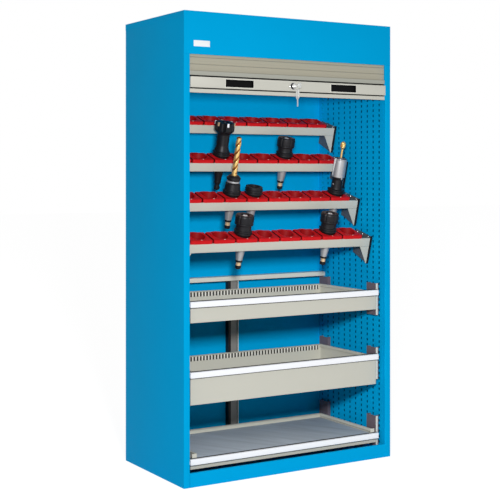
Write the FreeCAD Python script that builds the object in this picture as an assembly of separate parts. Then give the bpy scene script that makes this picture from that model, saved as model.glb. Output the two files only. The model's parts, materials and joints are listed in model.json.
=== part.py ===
import FreeCAD, Part
import math
import os

# Roll-front tool cabinet, millimetres.
# Origin: centre of the carcass footprint on the floor. X to the right, -Y out of the front, Z up.

# ---- carcass -------------------------------------------------------------------------------
cabinet_width = 1060.0
cabinet_depth = 555.0
cabinet_height = 1950.0
sheet = 1.5
cap_flange = 27.0
fascia_height = 177.0
jamb_width = 28.0
base_rail_height = 58.0
base_rail_return = 10.0
base_flange = 25.0
rear_return = 24.0
back_recess = 21.5
fascia_return = 8.0
wall_inset = 25.0

# perforated inner walls
slot_width = 5.0
slot_height = 12.0
slot_column_pitch = 45.0
slot_row_pitch = 24.0
slot_edge_margin = 18.0

# curtain channel behind the jambs
front_setback = 11.0
slat_play = 0.5
channel_side_gap = 4.5
channel_top_above_opening = 45.0

# ---- rolling curtain -----------------------------------------------------------------------
slat_pitch = 28.8
slat_thickness = 7.0
slat_joint_gap = 0.8
slat_rib_depth = 1.75
slat_end_clearance = 12.0
bar_below_opening_top = 157.0
bar_closed_clearance = 2.0
bar_height = 89.0
lower_lip_height = 16.0
plate_height = 44.0
bar_groove = 5.0
plate_end_clearance = 2.0
plate_proud = 1.5
bar_wall = 2.0
lip_setback = 6.0
lip_end_clearance = 1.0
upper_lip_height = 17.0

# hand grips pressed into the bar
grip_width = 133.0
grip_height = 28.0
grip_depth = 11.0
grip_wall = 1.5
grip_flange = 2.0
grip_flange_thickness = 0.6
grip_offset = 267.0

# lock, keys and bolts
rosette_radius = 16.0
rosette_thickness = 3.0
lock_barrel_radius = 11.0
lock_collar_radius = 12.0
lock_collar_length = 12.0
plug_radius = 8.0
running_clearance = 0.05
cam_radius = 18.0
cam_thickness = 1.5
cam_gap = 0.3
cam_pocket_play = 1.0
bolt_height = 12.0
bolt_thickness = 3.0
bolt_play = 0.5
bolt_inner_end = 9.0
bolt_end_setback = 2.0
bolt_travel = 11.0
strike_height = 12.0
strike_play = 1.5
strike_end_clearance = 3.0
key_thickness = 1.6
key_bow_radius = 12.0
key_stem_length = 24.0
key_stem_width = 8.0
lock_key_bow_length = 25.0
key_hole_radius = 3.0
key_hole_rim = 3.5
ring_radius = 11.5
ring_to_bow = 4.0
ring_wire_radius = 0.7
spare_bow_length = 46.0
spare_blade_length = 30.0
spare_blade_width = 8.0
spare_blade_tip = 2.7
hook_gap = 0.3

# drum above the opening
axle_radius = 8.0
tube_radius = 40.0
tube_wall = 2.0
hub_thickness = 10.0
coil_pitch = 8.3
rolled_thickness = 5.5
coil_seat_gap = 0.3
drum_bracket_thickness = 3.0
drum_bracket_gap = 6.0
cover_gap = 9.0
coil_top_gap = 9.5
spring_wire_radius = 1.5
spring_coil_radius = 14.0
spring_pitch = 20.0
spring_turns = 12

# ---- rear post and cross bar ---------------------------------------------------------------
post_width = 56.0
post_depth = 29.5
post_face_width = 46.0
post_slot = 4.0
cross_bar_height = 805.0
cross_bar_depth = 49.5
cross_bar_flange = 20.0

# ---- tool shelves --------------------------------------------------------------------------
shelf_count = 4
shelf_tilt = 15.0
top_shelf_to_back = 153.5
top_shelf_below_opening_top = 273.0
low_shelf_to_front = 96.5
low_shelf_above_cross_bar = 180.5
shelf_rail_height = 38.0
shelf_rail_lip = 8.0
shelf_rail_foot = 15.0
shelf_end_margin = 45.0
holder_pitch = 112.0
holder_gap = 5.0
holder_bore_clearance = 3.0
holder_wall = 8.0
holder_collar_wall = 10.0
holder_collar_height = 24.0
holder_collar_rise = 42.0
holder_rear_wall = 16.0
holder_rail_clearance = 2.0
holder_foot_clearance = 2.5
holder_front_height = 12.0
holder_shoulder_depth = 5.0
holder_shoulder_height = 15.5
holder_rear_height = 23.6
holder_side_depth = 96.0
holder_edge = 1.0
shelf_bracket_thickness = 2.0
shelf_bracket_inset = 6.0
shelf_bracket_drop = 120.0
shelf_bracket_rise = 10.0
shelf_bracket_foot_rise = 20.0
shelf_bracket_overhang = 8.0
gusset_width = 50.0
tab_height = 14.0
tab_depth = 10.0

# ---- tools: steep taper and pull stud below the seat, gauge flange above it ------------------
tool_seat_gap = 0.3
taper_top_radius = 31.0
taper_end_radius = 14.5
taper_length = 118.0
taper_ring_radius = 15.5
taper_ring_length = 9.0
stud_neck_radius = 11.0
stud_neck_length = 16.0
stud_head_radius = 13.0
stud_head_length = 16.0
stud_tip_radius = 10.0
stud_tip_length = 3.0
gauge_radius = 40.0
gauge_height = 18.0
gauge_chamfer = 2.0
gauge_groove_radius = 36.0
gauge_groove_middle = 10.0
gauge_groove_half = 3.0
body_step = 2.0

# collet chuck, lengths upwards from the gauge flange
chuck_neck_radius = 34.0
chuck_neck_length = 22.0
nut_radius = 41.0
nut_shoulder = 4.0
nut_length = 34.0
nut_nose_radius = 37.0
nut_nose_length = 8.0
nut_mouth_radius = 20.0
nut_mouth_floor_radius = 17.0

# face mill
arbor_root_radius = 34.0
arbor_root_length = 25.0
arbor_radius = 28.0
arbor_length = 53.0
cutter_shoulder = 12.0
cutter_low_radius = 40.0
cutter_radius = 44.0
cutter_length = 42.0
cutter_recess_radius = 14.0
cutter_recess_depth = 6.0

# drill chuck and drill
drill_chuck_root_radius = 35.0
drill_chuck_radius = 32.0
drill_chuck_length = 28.0
drill_chuck_waist_radius = 27.0
drill_chuck_waist_length = 10.0
drill_chuck_sleeve_radius = 31.0
drill_chuck_sleeve_length = 10.0
drill_chuck_cone_length = 8.0
drill_chuck_cone_radius = 22.0
drill_chuck_nose_radius = 12.0
drill_chuck_step = 4.0
drill_radius = 12.0
drill_length = 176.0
drill_tip_length = 14.0
drill_tip_radius = 1.4

# stub adapter
stub_radius = 40.0
stub_length = 10.0
stub_rim_radius = 38.0
stub_bore_radius = 24.0
stub_bore_depth = 8.0

# end mill holder and end mill
holder_body_radius = 27.0
holder_body_top_radius = 25.0
holder_body_length = 44.0
holder_band_rise = 8.0
holder_band_height = 4.0
holder_band_radius = 29.0
mill_sleeve_radius = 30.0
mill_sleeve_length = 80.0
mill_nose_radius = 27.0
mill_nose_length = 6.0
mill_nose_bore_radius = 9.0
mill_shank_radius = 5.0
mill_shank_length = 42.0
mill_cone_length = 10.0
mill_flute_low_radius = 10.0
mill_flute_radius = 11.0
mill_flute_length = 18.0
mill_tip_radius = 8.0
mill_tip_length = 10.0

# ---- drawers and pull-out tray -------------------------------------------------------------
drawer_to_wall = 49.0
drawer_setback = 42.5
drawer_to_back = 82.5
drawer_sheet = 1.5
drawer_rim_width = 8.0
drawer_rim_height = 12.0
drawer_ear_width = 14.0
front_panel_overhang = 22.0
handle_overhang = 6.0
handle_height = 25.0
handle_depth = 15.0
handle_wall = 2.5
handle_chamfer = 2.5
divider_slot_width = 4.0
divider_slot_height = 13.0
divider_slot_pitch = 16.5
divider_slot_drop = 15.0
mat_thickness = 4.0
mat_clearance = 1.0

# top: handle top above the floor; front, deck, rim, rail: lower edge of the front, underside of the
# floor sheet, upper edge of the sides and middle of the runner below it; down, up: reach of the
# brackets from the runner
drawer_units = {
    "upper_drawer": {"top": 755.0, "front": 89.0, "deck": 89.0, "rim": 4.0, "rail": 44.0,
                     "down": 72.0, "up": 72.0, "slotted": True},
    "lower_drawer": {"top": 464.0, "front": 137.0, "deck": 137.0, "rim": 4.0, "rail": 45.0,
                     "down": 72.0, "up": 72.0, "slotted": True},
    "pull_out_tray": {"top": 106.0, "front": 44.0, "deck": 3.0, "rim": -20.0, "rail": 20.0,
                      "down": 43.0, "up": 94.0, "slotted": False},
}

# telescopic runners
runner_sheet = 1.5
runner_setback = 7.0
runner_behind_drawer = 30.0
runner_height = 40.0
runner_clearance = 0.5
runner_reach = 26.0
runner_overlap = 10.0
bracket_depth = 70.0
bracket_setback = 3.0
bracket_before_drawer_rear = 24.0
bracket_sheet = 2.0
bracket_flange = 11.0
bracket_joggle = 12.0

# ---- derived places ------------------------------------------------------------------------
half_width = cabinet_width / 2
half_depth = cabinet_depth / 2
front_y = -half_depth
rear_y = half_depth
inner_x = half_width - sheet
opening_x = half_width - jamb_width
opening_top = cabinet_height - fascia_height
back_inner_y = rear_y - sheet - back_recess
wall_x = half_width - wall_inset
floor_top = sheet
channel_front_y = front_y + front_setback
channel_rear_y = channel_front_y + sheet + slat_thickness + 2 * slat_play
curtain_y = channel_front_y + sheet + slat_play + slat_thickness / 2
channel_web_x = inner_x - channel_side_gap
slat_half_length = channel_web_x - slat_end_clearance
bar_rest_height = opening_top - bar_below_opening_top
curtain_travel = bar_rest_height - base_rail_height - bar_closed_clearance
bar_top = bar_rest_height + bar_height
plate_low = bar_rest_height + lower_lip_height + bar_groove
plate_high = plate_low + plate_height
lock_z = (plate_low + plate_high) / 2
plate_front_y = front_y - plate_proud
slat_front_y = curtain_y - slat_thickness / 2
slat_rear_y = curtain_y + slat_thickness / 2
rolled_slat_count = math.ceil(curtain_travel / slat_pitch)
first_coil_radius = tube_radius + coil_seat_gap + rolled_thickness / 2


def coil_places():
    """Angle and radius of each rolled slat, from the drum outwards, and of the coil's last edge."""
    places = []
    angle = 0.0
    for _ in range(rolled_slat_count):
        radius = first_coil_radius + coil_pitch * angle / (2 * math.pi)
        places.append((angle, radius))
        angle += slat_pitch / radius
    return places, angle, first_coil_radius + coil_pitch * angle / (2 * math.pi)


coil, coil_angle, coil_radius = coil_places()
drum_y = curtain_y + coil_radius
drum_z = cabinet_height - sheet - coil_top_gap - coil_radius
cover_y = drum_y + coil_radius + cover_gap
hanging_slat_count = int((drum_z - bar_top) // slat_pitch)
coil_start_z = bar_top + hanging_slat_count * slat_pitch

top_shelf_y = back_inner_y - top_shelf_to_back
top_shelf_z = opening_top - top_shelf_below_opening_top
shelf_step_y = (top_shelf_y - front_y - low_shelf_to_front) / (shelf_count - 1)
shelf_step_z = (top_shelf_z - cross_bar_height - low_shelf_above_cross_bar) / (shelf_count - 1)
shelf_bracket_x = wall_x - shelf_bracket_inset - shelf_bracket_thickness
holders_per_shelf = int(2 * (shelf_bracket_x - shelf_end_margin) // holder_pitch)
holder_bore_radius = taper_top_radius + holder_bore_clearance
holder_lead_in = gauge_radius - gauge_chamfer - holder_bore_radius
holder_collar_radius = holder_bore_radius + holder_collar_wall
holder_rear_radius = holder_bore_radius + holder_rear_wall
holder_skirt_radius = holder_bore_radius + holder_wall
holder_skirt_depth = shelf_rail_height - sheet - holder_foot_clearance
holder_bore_y = holder_rear_radius + holder_rail_clearance
shelf_frame_depth = holder_bore_y + holder_rear_radius + holder_rail_clearance
shelf_bracket_length = shelf_frame_depth + shelf_bracket_overhang

drawer_half_width = wall_x - drawer_to_wall
front_panel_half_width = drawer_half_width + front_panel_overhang
handle_half_width = front_panel_half_width + handle_overhang
drawer_front_y = front_y + drawer_setback
drawer_rear_y = back_inner_y - drawer_to_back
runner_front_y = drawer_front_y + runner_setback
runner_rear_y = drawer_rear_y + runner_behind_drawer
bracket_x = drawer_half_width + runner_reach
bracket_starts = (drawer_front_y + bracket_setback, drawer_rear_y - bracket_before_drawer_rear)


# ---- helpers -------------------------------------------------------------------------------
def box(x0, x1, y0, y1, z0, z1):
    corner = FreeCAD.Vector(min(x0, x1), min(y0, y1), min(z0, z1))
    return Part.makeBox(abs(x1 - x0), abs(y1 - y0), abs(z1 - z0), corner)


def cylinder(radius, start, direction, length):
    return Part.makeCylinder(radius, length, FreeCAD.Vector(*start), FreeCAD.Vector(*direction))


def prism_along_x(points_yz, x0, x1):
    corners = [FreeCAD.Vector(x0, y, z) for y, z in points_yz]
    face = Part.Face(Part.makePolygon(corners + corners[:1]))
    return face.extrude(FreeCAD.Vector(x1 - x0, 0, 0))


def prism_along_y(points_xz, y0, y1):
    corners = [FreeCAD.Vector(x, y0, z) for x, z in points_xz]
    face = Part.Face(Part.makePolygon(corners + corners[:1]))
    return face.extrude(FreeCAD.Vector(0, y1 - y0, 0))


def turned(profile):
    """Solid of revolution about Z from (radius, height) points that start and end on the axis."""
    corners = [FreeCAD.Vector(radius, 0, height) for radius, height in profile]
    face = Part.Face(Part.makePolygon(corners + corners[:1]))
    return face.revolve(FreeCAD.Vector(0, 0, 0), FreeCAD.Vector(0, 0, 1), 360)


def joined(shapes):
    return shapes[0].fuse(shapes[1:]).removeSplitter()


def mirrored(shape):
    return shape.mirror(FreeCAD.Vector(0, 0, 0), FreeCAD.Vector(1, 0, 0))


def both_sides(shape):
    return [shape, mirrored(shape)]


def moved(shape, x=0.0, y=0.0, z=0.0):
    copy = shape.copy()
    copy.translate(FreeCAD.Vector(x, y, z))
    return copy


def save(name, shapes):
    if not isinstance(shapes, list):
        shapes = [shapes]
    solids = [solid for shape in shapes for solid in shape.Solids]
    shape = solids[0] if len(solids) == 1 else Part.makeCompound(solids)
    shape.exportStep(os.path.join("parts", name + ".step"))
    print(f"{name:28s} solids {len(solids):3d} volume {shape.Volume / 1000:10.2f} cm3 valid {shape.isValid()}")


# ---- carcass -------------------------------------------------------------------------------
def side_panel():
    """Right-hand outer side: wall, front jamb with its inward return, rear return."""
    cap_low = cabinet_height - cap_flange
    return joined([
        box(inner_x, half_width, front_y + sheet, rear_y, 0, cap_low),
        box(opening_x, half_width, front_y, front_y + sheet, 0, opening_top),
        box(opening_x, opening_x + sheet, front_y + sheet, channel_front_y + sheet,
            base_rail_height, opening_top),
        box(inner_x - rear_return, inner_x, rear_y - sheet, rear_y, 0, cap_low),
    ])


def top_cover():
    cap_low = cabinet_height - cap_flange
    top_low = cabinet_height - sheet
    flange = box(inner_x, half_width, front_y + sheet, rear_y, cap_low, top_low)
    return joined([
        box(-half_width, half_width, front_y + sheet, rear_y, top_low, cabinet_height),
        flange,
        mirrored(flange),
        box(-inner_x, inner_x, rear_y - sheet, rear_y, cap_low, top_low),
    ])


def fascia():
    return joined([
        box(-half_width, half_width, front_y, front_y + sheet, opening_top, cabinet_height),
        box(-opening_x, opening_x, front_y + sheet, front_y + sheet + fascia_return,
            opening_top, opening_top + sheet),
    ])


def base_pan():
    """Floor sheet that stands on the ground, front rail, and flanges turned up along its edges."""
    front = front_y + sheet
    side_flange = box(inner_x - sheet, inner_x, channel_rear_y + 2 * sheet, back_inner_y - sheet,
                      floor_top, floor_top + base_flange)
    rear_flange = box(post_width / 2, wall_x, back_inner_y - sheet, back_inner_y,
                      floor_top, floor_top + base_flange)
    return joined([
        box(-opening_x, opening_x, front_y, front, 0, base_rail_height),
        box(-opening_x, opening_x, front, front + base_rail_return,
            base_rail_height - sheet, base_rail_height),
        box(-inner_x, inner_x, front, back_inner_y, 0, floor_top),
        side_flange,
        mirrored(side_flange),
        rear_flange,
        mirrored(rear_flange),
    ])


def back_panel():
    """Recessed rear sheet with stiffening flanges folded towards the rear."""
    top = cabinet_height - sheet
    rear = rear_y - sheet
    side = box(inner_x - sheet, inner_x, back_inner_y + sheet, rear, 0, top)
    return joined([
        box(-inner_x, inner_x, back_inner_y, back_inner_y + sheet, 0, top),
        side,
        mirrored(side),
        box(-inner_x, inner_x, back_inner_y + sheet, rear, top - sheet, top),
        box(-inner_x, inner_x, back_inner_y + sheet, rear, 0, sheet),
    ])


def perforated_wall():
    """Inner wall with columns of upright slots, folded out to the side panel at both ends."""
    low = floor_top
    high = opening_top + sheet
    front = channel_rear_y + sheet
    length = back_inner_y - front
    outline = Part.makePolygon([
        FreeCAD.Vector(wall_x, front, low),
        FreeCAD.Vector(wall_x, back_inner_y, low),
        FreeCAD.Vector(wall_x, back_inner_y, high),
        FreeCAD.Vector(wall_x, front, high),
        FreeCAD.Vector(wall_x, front, low),
    ])
    columns = int((length - 2 * slot_edge_margin) // slot_column_pitch) + 1
    rows = int((high - low - 2 * slot_edge_margin) // slot_row_pitch)
    first_y = front + (length - (columns - 1) * slot_column_pitch) / 2
    first_z = low + (high - low - (rows - 1) * slot_row_pitch) / 2
    holes = []
    for column in range(columns):
        for row in range(rows):
            y = first_y + column * slot_column_pitch
            z = first_z + row * slot_row_pitch
            holes.append(Part.makePolygon([
                FreeCAD.Vector(wall_x, y - slot_width / 2, z - slot_height / 2),
                FreeCAD.Vector(wall_x, y - slot_width / 2, z + slot_height / 2),
                FreeCAD.Vector(wall_x, y + slot_width / 2, z + slot_height / 2),
                FreeCAD.Vector(wall_x, y + slot_width / 2, z - slot_height / 2),
                FreeCAD.Vector(wall_x, y - slot_width / 2, z - slot_height / 2),
            ]))
    web = Part.Face([outline] + holes).extrude(FreeCAD.Vector(sheet, 0, 0))
    outer = wall_x + sheet
    return joined([
        web,
        box(outer, inner_x, front, front + sheet, low, high),
        box(outer, inner_x, back_inner_y - sheet, back_inner_y, low, high),
    ])


def curtain_channel():
    """Upright U channel that the ends of the slats run in."""
    low = floor_top
    high = opening_top + channel_top_above_opening
    outer = channel_web_x + sheet
    return joined([
        box(opening_x + sheet, outer, channel_front_y, channel_front_y + sheet, low, high),
        box(channel_web_x, outer, channel_front_y + sheet, channel_rear_y, low, high),
        box(opening_x, outer, channel_rear_y, channel_rear_y + sheet, low, high),
    ])


def bolt_strike():
    """Block in the channel that a thrown bolt catches under when the curtain is down."""
    bolt_top = lock_z - curtain_travel + bolt_height / 2
    low = bolt_top + strike_play
    return box(slat_half_length + strike_end_clearance, channel_web_x,
               channel_front_y + sheet, channel_rear_y, low, low + strike_height)


def roll_cover():
    """Inner cover of the curtain compartment: bottom sheet and rear sheet."""
    bottom = opening_top + sheet
    return joined([
        box(-inner_x, inner_x, channel_rear_y + sheet, cover_y, bottom, bottom + sheet),
        box(-inner_x, inner_x, cover_y - sheet, cover_y, bottom + sheet, cabinet_height - sheet),
    ])


# ---- drum and rolled curtain ---------------------------------------------------------------
drum_bracket_x = slat_half_length + drum_bracket_gap


def drum_bracket():
    low = opening_top + 2 * sheet
    high = cabinet_height - sheet
    plate_end = drum_bracket_x + drum_bracket_thickness
    front = channel_rear_y + 2 * sheet
    rear = cover_y - sheet
    bracket = joined([
        box(drum_bracket_x, plate_end, front, rear, low, high),
        box(plate_end, inner_x, front, rear, high - drum_bracket_thickness, high),
        box(plate_end, inner_x, front, rear, low, low + drum_bracket_thickness),
    ])
    bore = cylinder(axle_radius, (drum_bracket_x, drum_y, drum_z), (1, 0, 0), drum_bracket_thickness)
    return bracket.cut(bore)


def drum_axle():
    end = drum_bracket_x + drum_bracket_thickness
    return cylinder(axle_radius, (-end, drum_y, drum_z), (1, 0, 0), 2 * end)


def drum_tube():
    """Tube with a bored hub disc in each end."""
    outer = cylinder(tube_radius, (-slat_half_length, drum_y, drum_z), (1, 0, 0), 2 * slat_half_length)
    hollow_x = slat_half_length - hub_thickness
    hollow = cylinder(tube_radius - tube_wall, (-hollow_x, drum_y, drum_z), (1, 0, 0), 2 * hollow_x)
    bore = cylinder(axle_radius + running_clearance, (-slat_half_length, drum_y, drum_z),
                    (1, 0, 0), 2 * slat_half_length)
    return outer.cut(hollow).cut(bore)


def torsion_spring():
    """Balance spring round the axle, its last coil against the right-hand hub."""
    length = spring_pitch * spring_turns
    helix = Part.makeHelix(spring_pitch, length, spring_coil_radius)
    section = Part.makeCircle(spring_wire_radius, FreeCAD.Vector(spring_coil_radius, 0, 0),
                              FreeCAD.Vector(0, 1, 0))
    coil_wire = Part.Wire(helix).makePipeShell([Part.Wire([section])], True, True)
    start_x = slat_half_length - hub_thickness - spring_wire_radius - hook_gap
    coil_wire.rotate(FreeCAD.Vector(0, 0, 0), FreeCAD.Vector(0, 1, 0), -90)
    coil_wire.translate(FreeCAD.Vector(start_x, drum_y, drum_z))
    return coil_wire


def rolled_slats():
    """Slats wound on the drum as an even spiral, one chord per slat."""
    slats = []
    half_chord = (slat_pitch - slat_joint_gap) / 2
    start_below_axle = (drum_z - coil_start_z) / coil_radius
    for angle, radius in coil:
        middle = angle + slat_pitch / radius / 2
        distance = first_coil_radius + coil_pitch * middle / (2 * math.pi)
        slat = box(-slat_half_length, slat_half_length, -half_chord, half_chord,
                   distance - rolled_thickness / 2, distance + rolled_thickness / 2)
        turn = 90 + math.degrees(middle - coil_angle + start_below_axle)
        slat.rotate(FreeCAD.Vector(0, 0, 0), FreeCAD.Vector(1, 0, 0), turn)
        slats.append(moved(slat, y=drum_y, z=drum_z))
    return slats


# ---- hanging curtain and end bar -----------------------------------------------------------
def hanging_slats():
    """Slats between the end bar and the coil, each with two shallow ribs on its face."""
    slats = []
    rib = slat_rib_depth
    for index in range(hanging_slat_count):
        low = bar_top + index * slat_pitch + slat_joint_gap / 2
        high = low + slat_pitch - slat_joint_gap
        middle = (low + high) / 2
        slats.append(prism_along_x([
            (slat_front_y + rib, low), (slat_front_y, low + rib),
            (slat_front_y, middle - rib), (slat_front_y + rib / 2, middle),
            (slat_front_y, middle + rib), (slat_front_y, high - rib),
            (slat_front_y + rib, high), (slat_rear_y, high), (slat_rear_y, low),
        ], -slat_half_length, slat_half_length))
    return slats


def grip_places():
    return [-grip_offset, grip_offset]


def end_bar():
    """Bottom bar: a slab that runs in the channels, a hollow front plate, a lip above and below it."""
    plate_x = opening_x - plate_end_clearance
    lip_x = opening_x - lip_end_clearance
    lip_front = front_y + lip_setback
    bar = joined([
        box(-slat_half_length, slat_half_length, slat_front_y, slat_rear_y, bar_rest_height, bar_top),
        box(-plate_x, plate_x, plate_front_y, slat_front_y, plate_low, plate_high),
        box(-lip_x, lip_x, lip_front, slat_front_y, bar_rest_height, bar_rest_height + lower_lip_height),
        box(-lip_x, lip_x, lip_front, slat_front_y, bar_top - upper_lip_height, bar_top),
    ])
    hollow_front = plate_front_y + bar_wall
    cuts = [box(-plate_x + bar_wall, plate_x - bar_wall, hollow_front, slat_front_y,
                plate_low + bar_wall, plate_high - bar_wall)]
    for x in grip_places():
        cuts.append(box(x - grip_width / 2, x + grip_width / 2, plate_front_y, hollow_front,
                        lock_z - grip_height / 2, lock_z + grip_height / 2))
    cuts.append(cylinder(lock_barrel_radius, (0, plate_front_y, lock_z), (0, 1, 0), bar_wall))
    pocket_depth = cam_thickness + 2 * cam_gap + bolt_thickness + bolt_play
    cuts.append(cylinder(cam_radius + cam_pocket_play, (0, slat_front_y, lock_z), (0, 1, 0), pocket_depth))
    rod_front = slat_front_y + cam_thickness + 2 * cam_gap - bolt_play / 2
    rod_rear = rod_front + bolt_thickness + bolt_play
    rod_half = bolt_height / 2 + bolt_play / 2
    cuts.append(box(-slat_half_length, slat_half_length, rod_front, rod_rear,
                    lock_z - rod_half, lock_z + rod_half))
    return bar.cut(Part.makeCompound(cuts))


def grip_cup(x):
    """Open recess for the fingers, with a thin flange on the plate."""
    half_w = grip_width / 2
    half_h = grip_height / 2
    front = plate_front_y
    flange = box(x - half_w - grip_flange, x + half_w + grip_flange,
                 front - grip_flange_thickness, front,
                 lock_z - half_h - grip_flange, lock_z + half_h + grip_flange)
    body = box(x - half_w, x + half_w, front, front + grip_depth, lock_z - half_h, lock_z + half_h)
    recess = box(x - half_w + grip_wall, x + half_w - grip_wall,
                 front - grip_flange_thickness, front + grip_depth - grip_wall,
                 lock_z - half_h + grip_wall, lock_z + half_h - grip_wall)
    return joined([flange, body]).cut(recess)


lock_face_y = plate_front_y - rosette_thickness - lock_collar_length
cam_front_y = slat_front_y + cam_gap


def lock_housing():
    rosette = cylinder(rosette_radius, (0, plate_front_y, lock_z), (0, -1, 0), rosette_thickness)
    collar = cylinder(lock_collar_radius, (0, plate_front_y, lock_z), (0, -1, 0),
                      rosette_thickness + lock_collar_length)
    barrel = cylinder(lock_barrel_radius, (0, plate_front_y, lock_z), (0, 1, 0),
                      slat_front_y - plate_front_y)
    bore = cylinder(plug_radius + running_clearance, (0, lock_face_y, lock_z), (0, 1, 0),
                    slat_front_y - lock_face_y)
    return joined([rosette, collar, barrel]).cut(bore)


def lock_plug():
    """Rotor of the lock with the disc cam that throws the bolts."""
    shaft = cylinder(plug_radius, (0, lock_face_y, lock_z), (0, 1, 0), cam_front_y - lock_face_y)
    cam = cylinder(cam_radius, (0, cam_front_y, lock_z), (0, 1, 0), cam_thickness)
    return joined([shaft, cam])


key_hole_from_end = key_hole_radius + key_hole_rim


def key_bow(length):
    """Long round-ended bow in the YZ plane, stem end at the origin, running to -Z."""
    half = key_thickness / 2
    radius = key_bow_radius
    bow = joined([
        box(-half, half, -radius, radius, -length + radius, -radius),
        cylinder(radius, (-half, 0, -radius), (1, 0, 0), key_thickness),
        cylinder(radius, (-half, 0, -length + radius), (1, 0, 0), key_thickness),
    ])
    hole_z = -length + key_hole_from_end
    return bow.cut(cylinder(key_hole_radius, (-half, 0, hole_z), (1, 0, 0), key_thickness))


def lock_key():
    """Key in the lock; its stem and bow stand out to the front."""
    stem = box(-key_thickness / 2, key_thickness / 2, -key_stem_width / 2, key_stem_width / 2,
               -key_bow_radius, key_stem_length)
    key = joined([stem, key_bow(lock_key_bow_length)])
    key.rotate(FreeCAD.Vector(0, 0, 0), FreeCAD.Vector(1, 0, 0), -90)
    return moved(key, y=lock_face_y - key_stem_length, z=lock_z)


ring_y = lock_face_y - key_stem_length + ring_to_bow
ring_z = lock_z + key_stem_width / 2 + hook_gap + ring_wire_radius - ring_radius
spare_hole_z = ring_z - ring_radius - key_hole_radius + ring_wire_radius + hook_gap


def key_ring():
    """Wire ring slipped over the stem of the key in the lock."""
    return Part.makeTorus(ring_radius, ring_wire_radius, FreeCAD.Vector(0, ring_y, ring_z),
                          FreeCAD.Vector(0, 1, 0))


def spare_key():
    """Second key, hanging from the ring by the hole in its bow."""
    bow = key_bow(spare_bow_length)
    bow.rotate(FreeCAD.Vector(0, 0, 0), FreeCAD.Vector(1, 0, 0), 180)
    bow.translate(FreeCAD.Vector(0, 0, -spare_bow_length))
    tip = spare_blade_tip
    low = -spare_bow_length - spare_blade_length
    blade = prism_along_x([
        (-spare_blade_width / 2, -spare_bow_length + key_bow_radius / 2),
        (-spare_blade_width / 2, low + tip), (-tip / 2, low), (tip / 2, low),
        (spare_blade_width / 2, low + tip),
        (spare_blade_width / 2, -spare_bow_length + key_bow_radius / 2),
    ], -key_thickness / 2, key_thickness / 2)
    key = joined([bow, blade])
    return moved(key, y=ring_y, z=spare_hole_z + key_hole_from_end)


def lock_bolt():
    """Right-hand locking rod, drawn back inside the bar."""
    front = cam_front_y + cam_thickness + cam_gap
    return box(bolt_inner_end, slat_half_length - bolt_end_setback, front, front + bolt_thickness,
               lock_z - bolt_height / 2, lock_z + bolt_height / 2)


# ---- rear post and cross bar ---------------------------------------------------------------
def rear_post():
    """Upright channel on the back panel, its front open along one narrow slot."""
    half = post_width / 2
    front = back_inner_y - post_depth
    low = floor_top
    high = cross_bar_height - sheet
    face_end = -half + post_face_width
    return joined([
        box(-half, half, back_inner_y - sheet, back_inner_y, low, high),
        box(-half, -half + sheet, front, back_inner_y, low, high),
        box(half - sheet, half, front, back_inner_y, low, high),
        box(-half, face_end, front, front + sheet, low, high),
        box(face_end + post_slot, half, front, front + sheet, low, high),
    ])


def rear_cross_bar():
    front = back_inner_y - cross_bar_depth
    return joined([
        box(-wall_x, wall_x, front, back_inner_y, cross_bar_height - sheet, cross_bar_height),
        box(-wall_x, wall_x, front, front + sheet, cross_bar_height - cross_bar_flange,
            cross_bar_height),
    ])


# ---- tool shelves --------------------------------------------------------------------------
def on_shelf(shape, shelf):
    """Tip a shape from the level shelf frame into place; the frame's origin is the rail's top edge."""
    placed = shape.copy()
    placed.rotate(FreeCAD.Vector(0, 0, 0), FreeCAD.Vector(1, 0, 0), shelf_tilt)
    placed.translate(FreeCAD.Vector(0, top_shelf_y - shelf * shelf_step_y,
                                    top_shelf_z - shelf * shelf_step_z))
    return placed


def shelf_frame():
    """Front and rear rails with lips, welded to a cross plate beside the outer holders."""
    rail_x = shelf_bracket_x
    low = -shelf_rail_height
    rear = shelf_frame_depth
    plate_x = holders_per_shelf * holder_pitch / 2 + holder_gap
    plate = box(plate_x, plate_x + sheet, sheet, rear - sheet, low + sheet, -sheet)
    return joined([
        box(-rail_x, rail_x, 0, sheet, low, 0),
        box(-rail_x, rail_x, sheet, shelf_rail_lip, -sheet, 0),
        box(-rail_x, rail_x, sheet, shelf_rail_foot, low, low + sheet),
        box(-rail_x, rail_x, rear - sheet, rear, low, 0),
        box(-rail_x, rail_x, rear - shelf_rail_lip, rear - sheet, -sheet, 0),
        plate,
        mirrored(plate),
    ])


def shelf_bracket():
    """Right-hand end plate with tapered front gusset and two tabs on the perforated wall."""
    inner = shelf_bracket_x
    outer = inner + shelf_bracket_thickness
    drop = -shelf_bracket_drop
    length = shelf_bracket_length
    plate = prism_along_x([
        (0, shelf_bracket_rise), (0, drop), (length, drop + shelf_bracket_foot_rise),
        (length, shelf_bracket_rise),
    ], inner, outer)
    gusset = prism_along_y([
        (inner - gusset_width, -shelf_rail_height), (inner, -shelf_rail_height), (inner, drop),
    ], 0, shelf_bracket_thickness)
    tab_rear = length - tab_depth
    return joined([
        plate,
        gusset,
        box(outer, wall_x, tab_rear - tab_depth, tab_rear, -tab_height, 0),
        box(outer, wall_x, tab_depth, 2 * tab_depth, -tab_height, 0),
        box(outer, wall_x, tab_depth, 2 * tab_depth, drop + 2 * tab_height, drop + 3 * tab_height),
    ])


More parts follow.
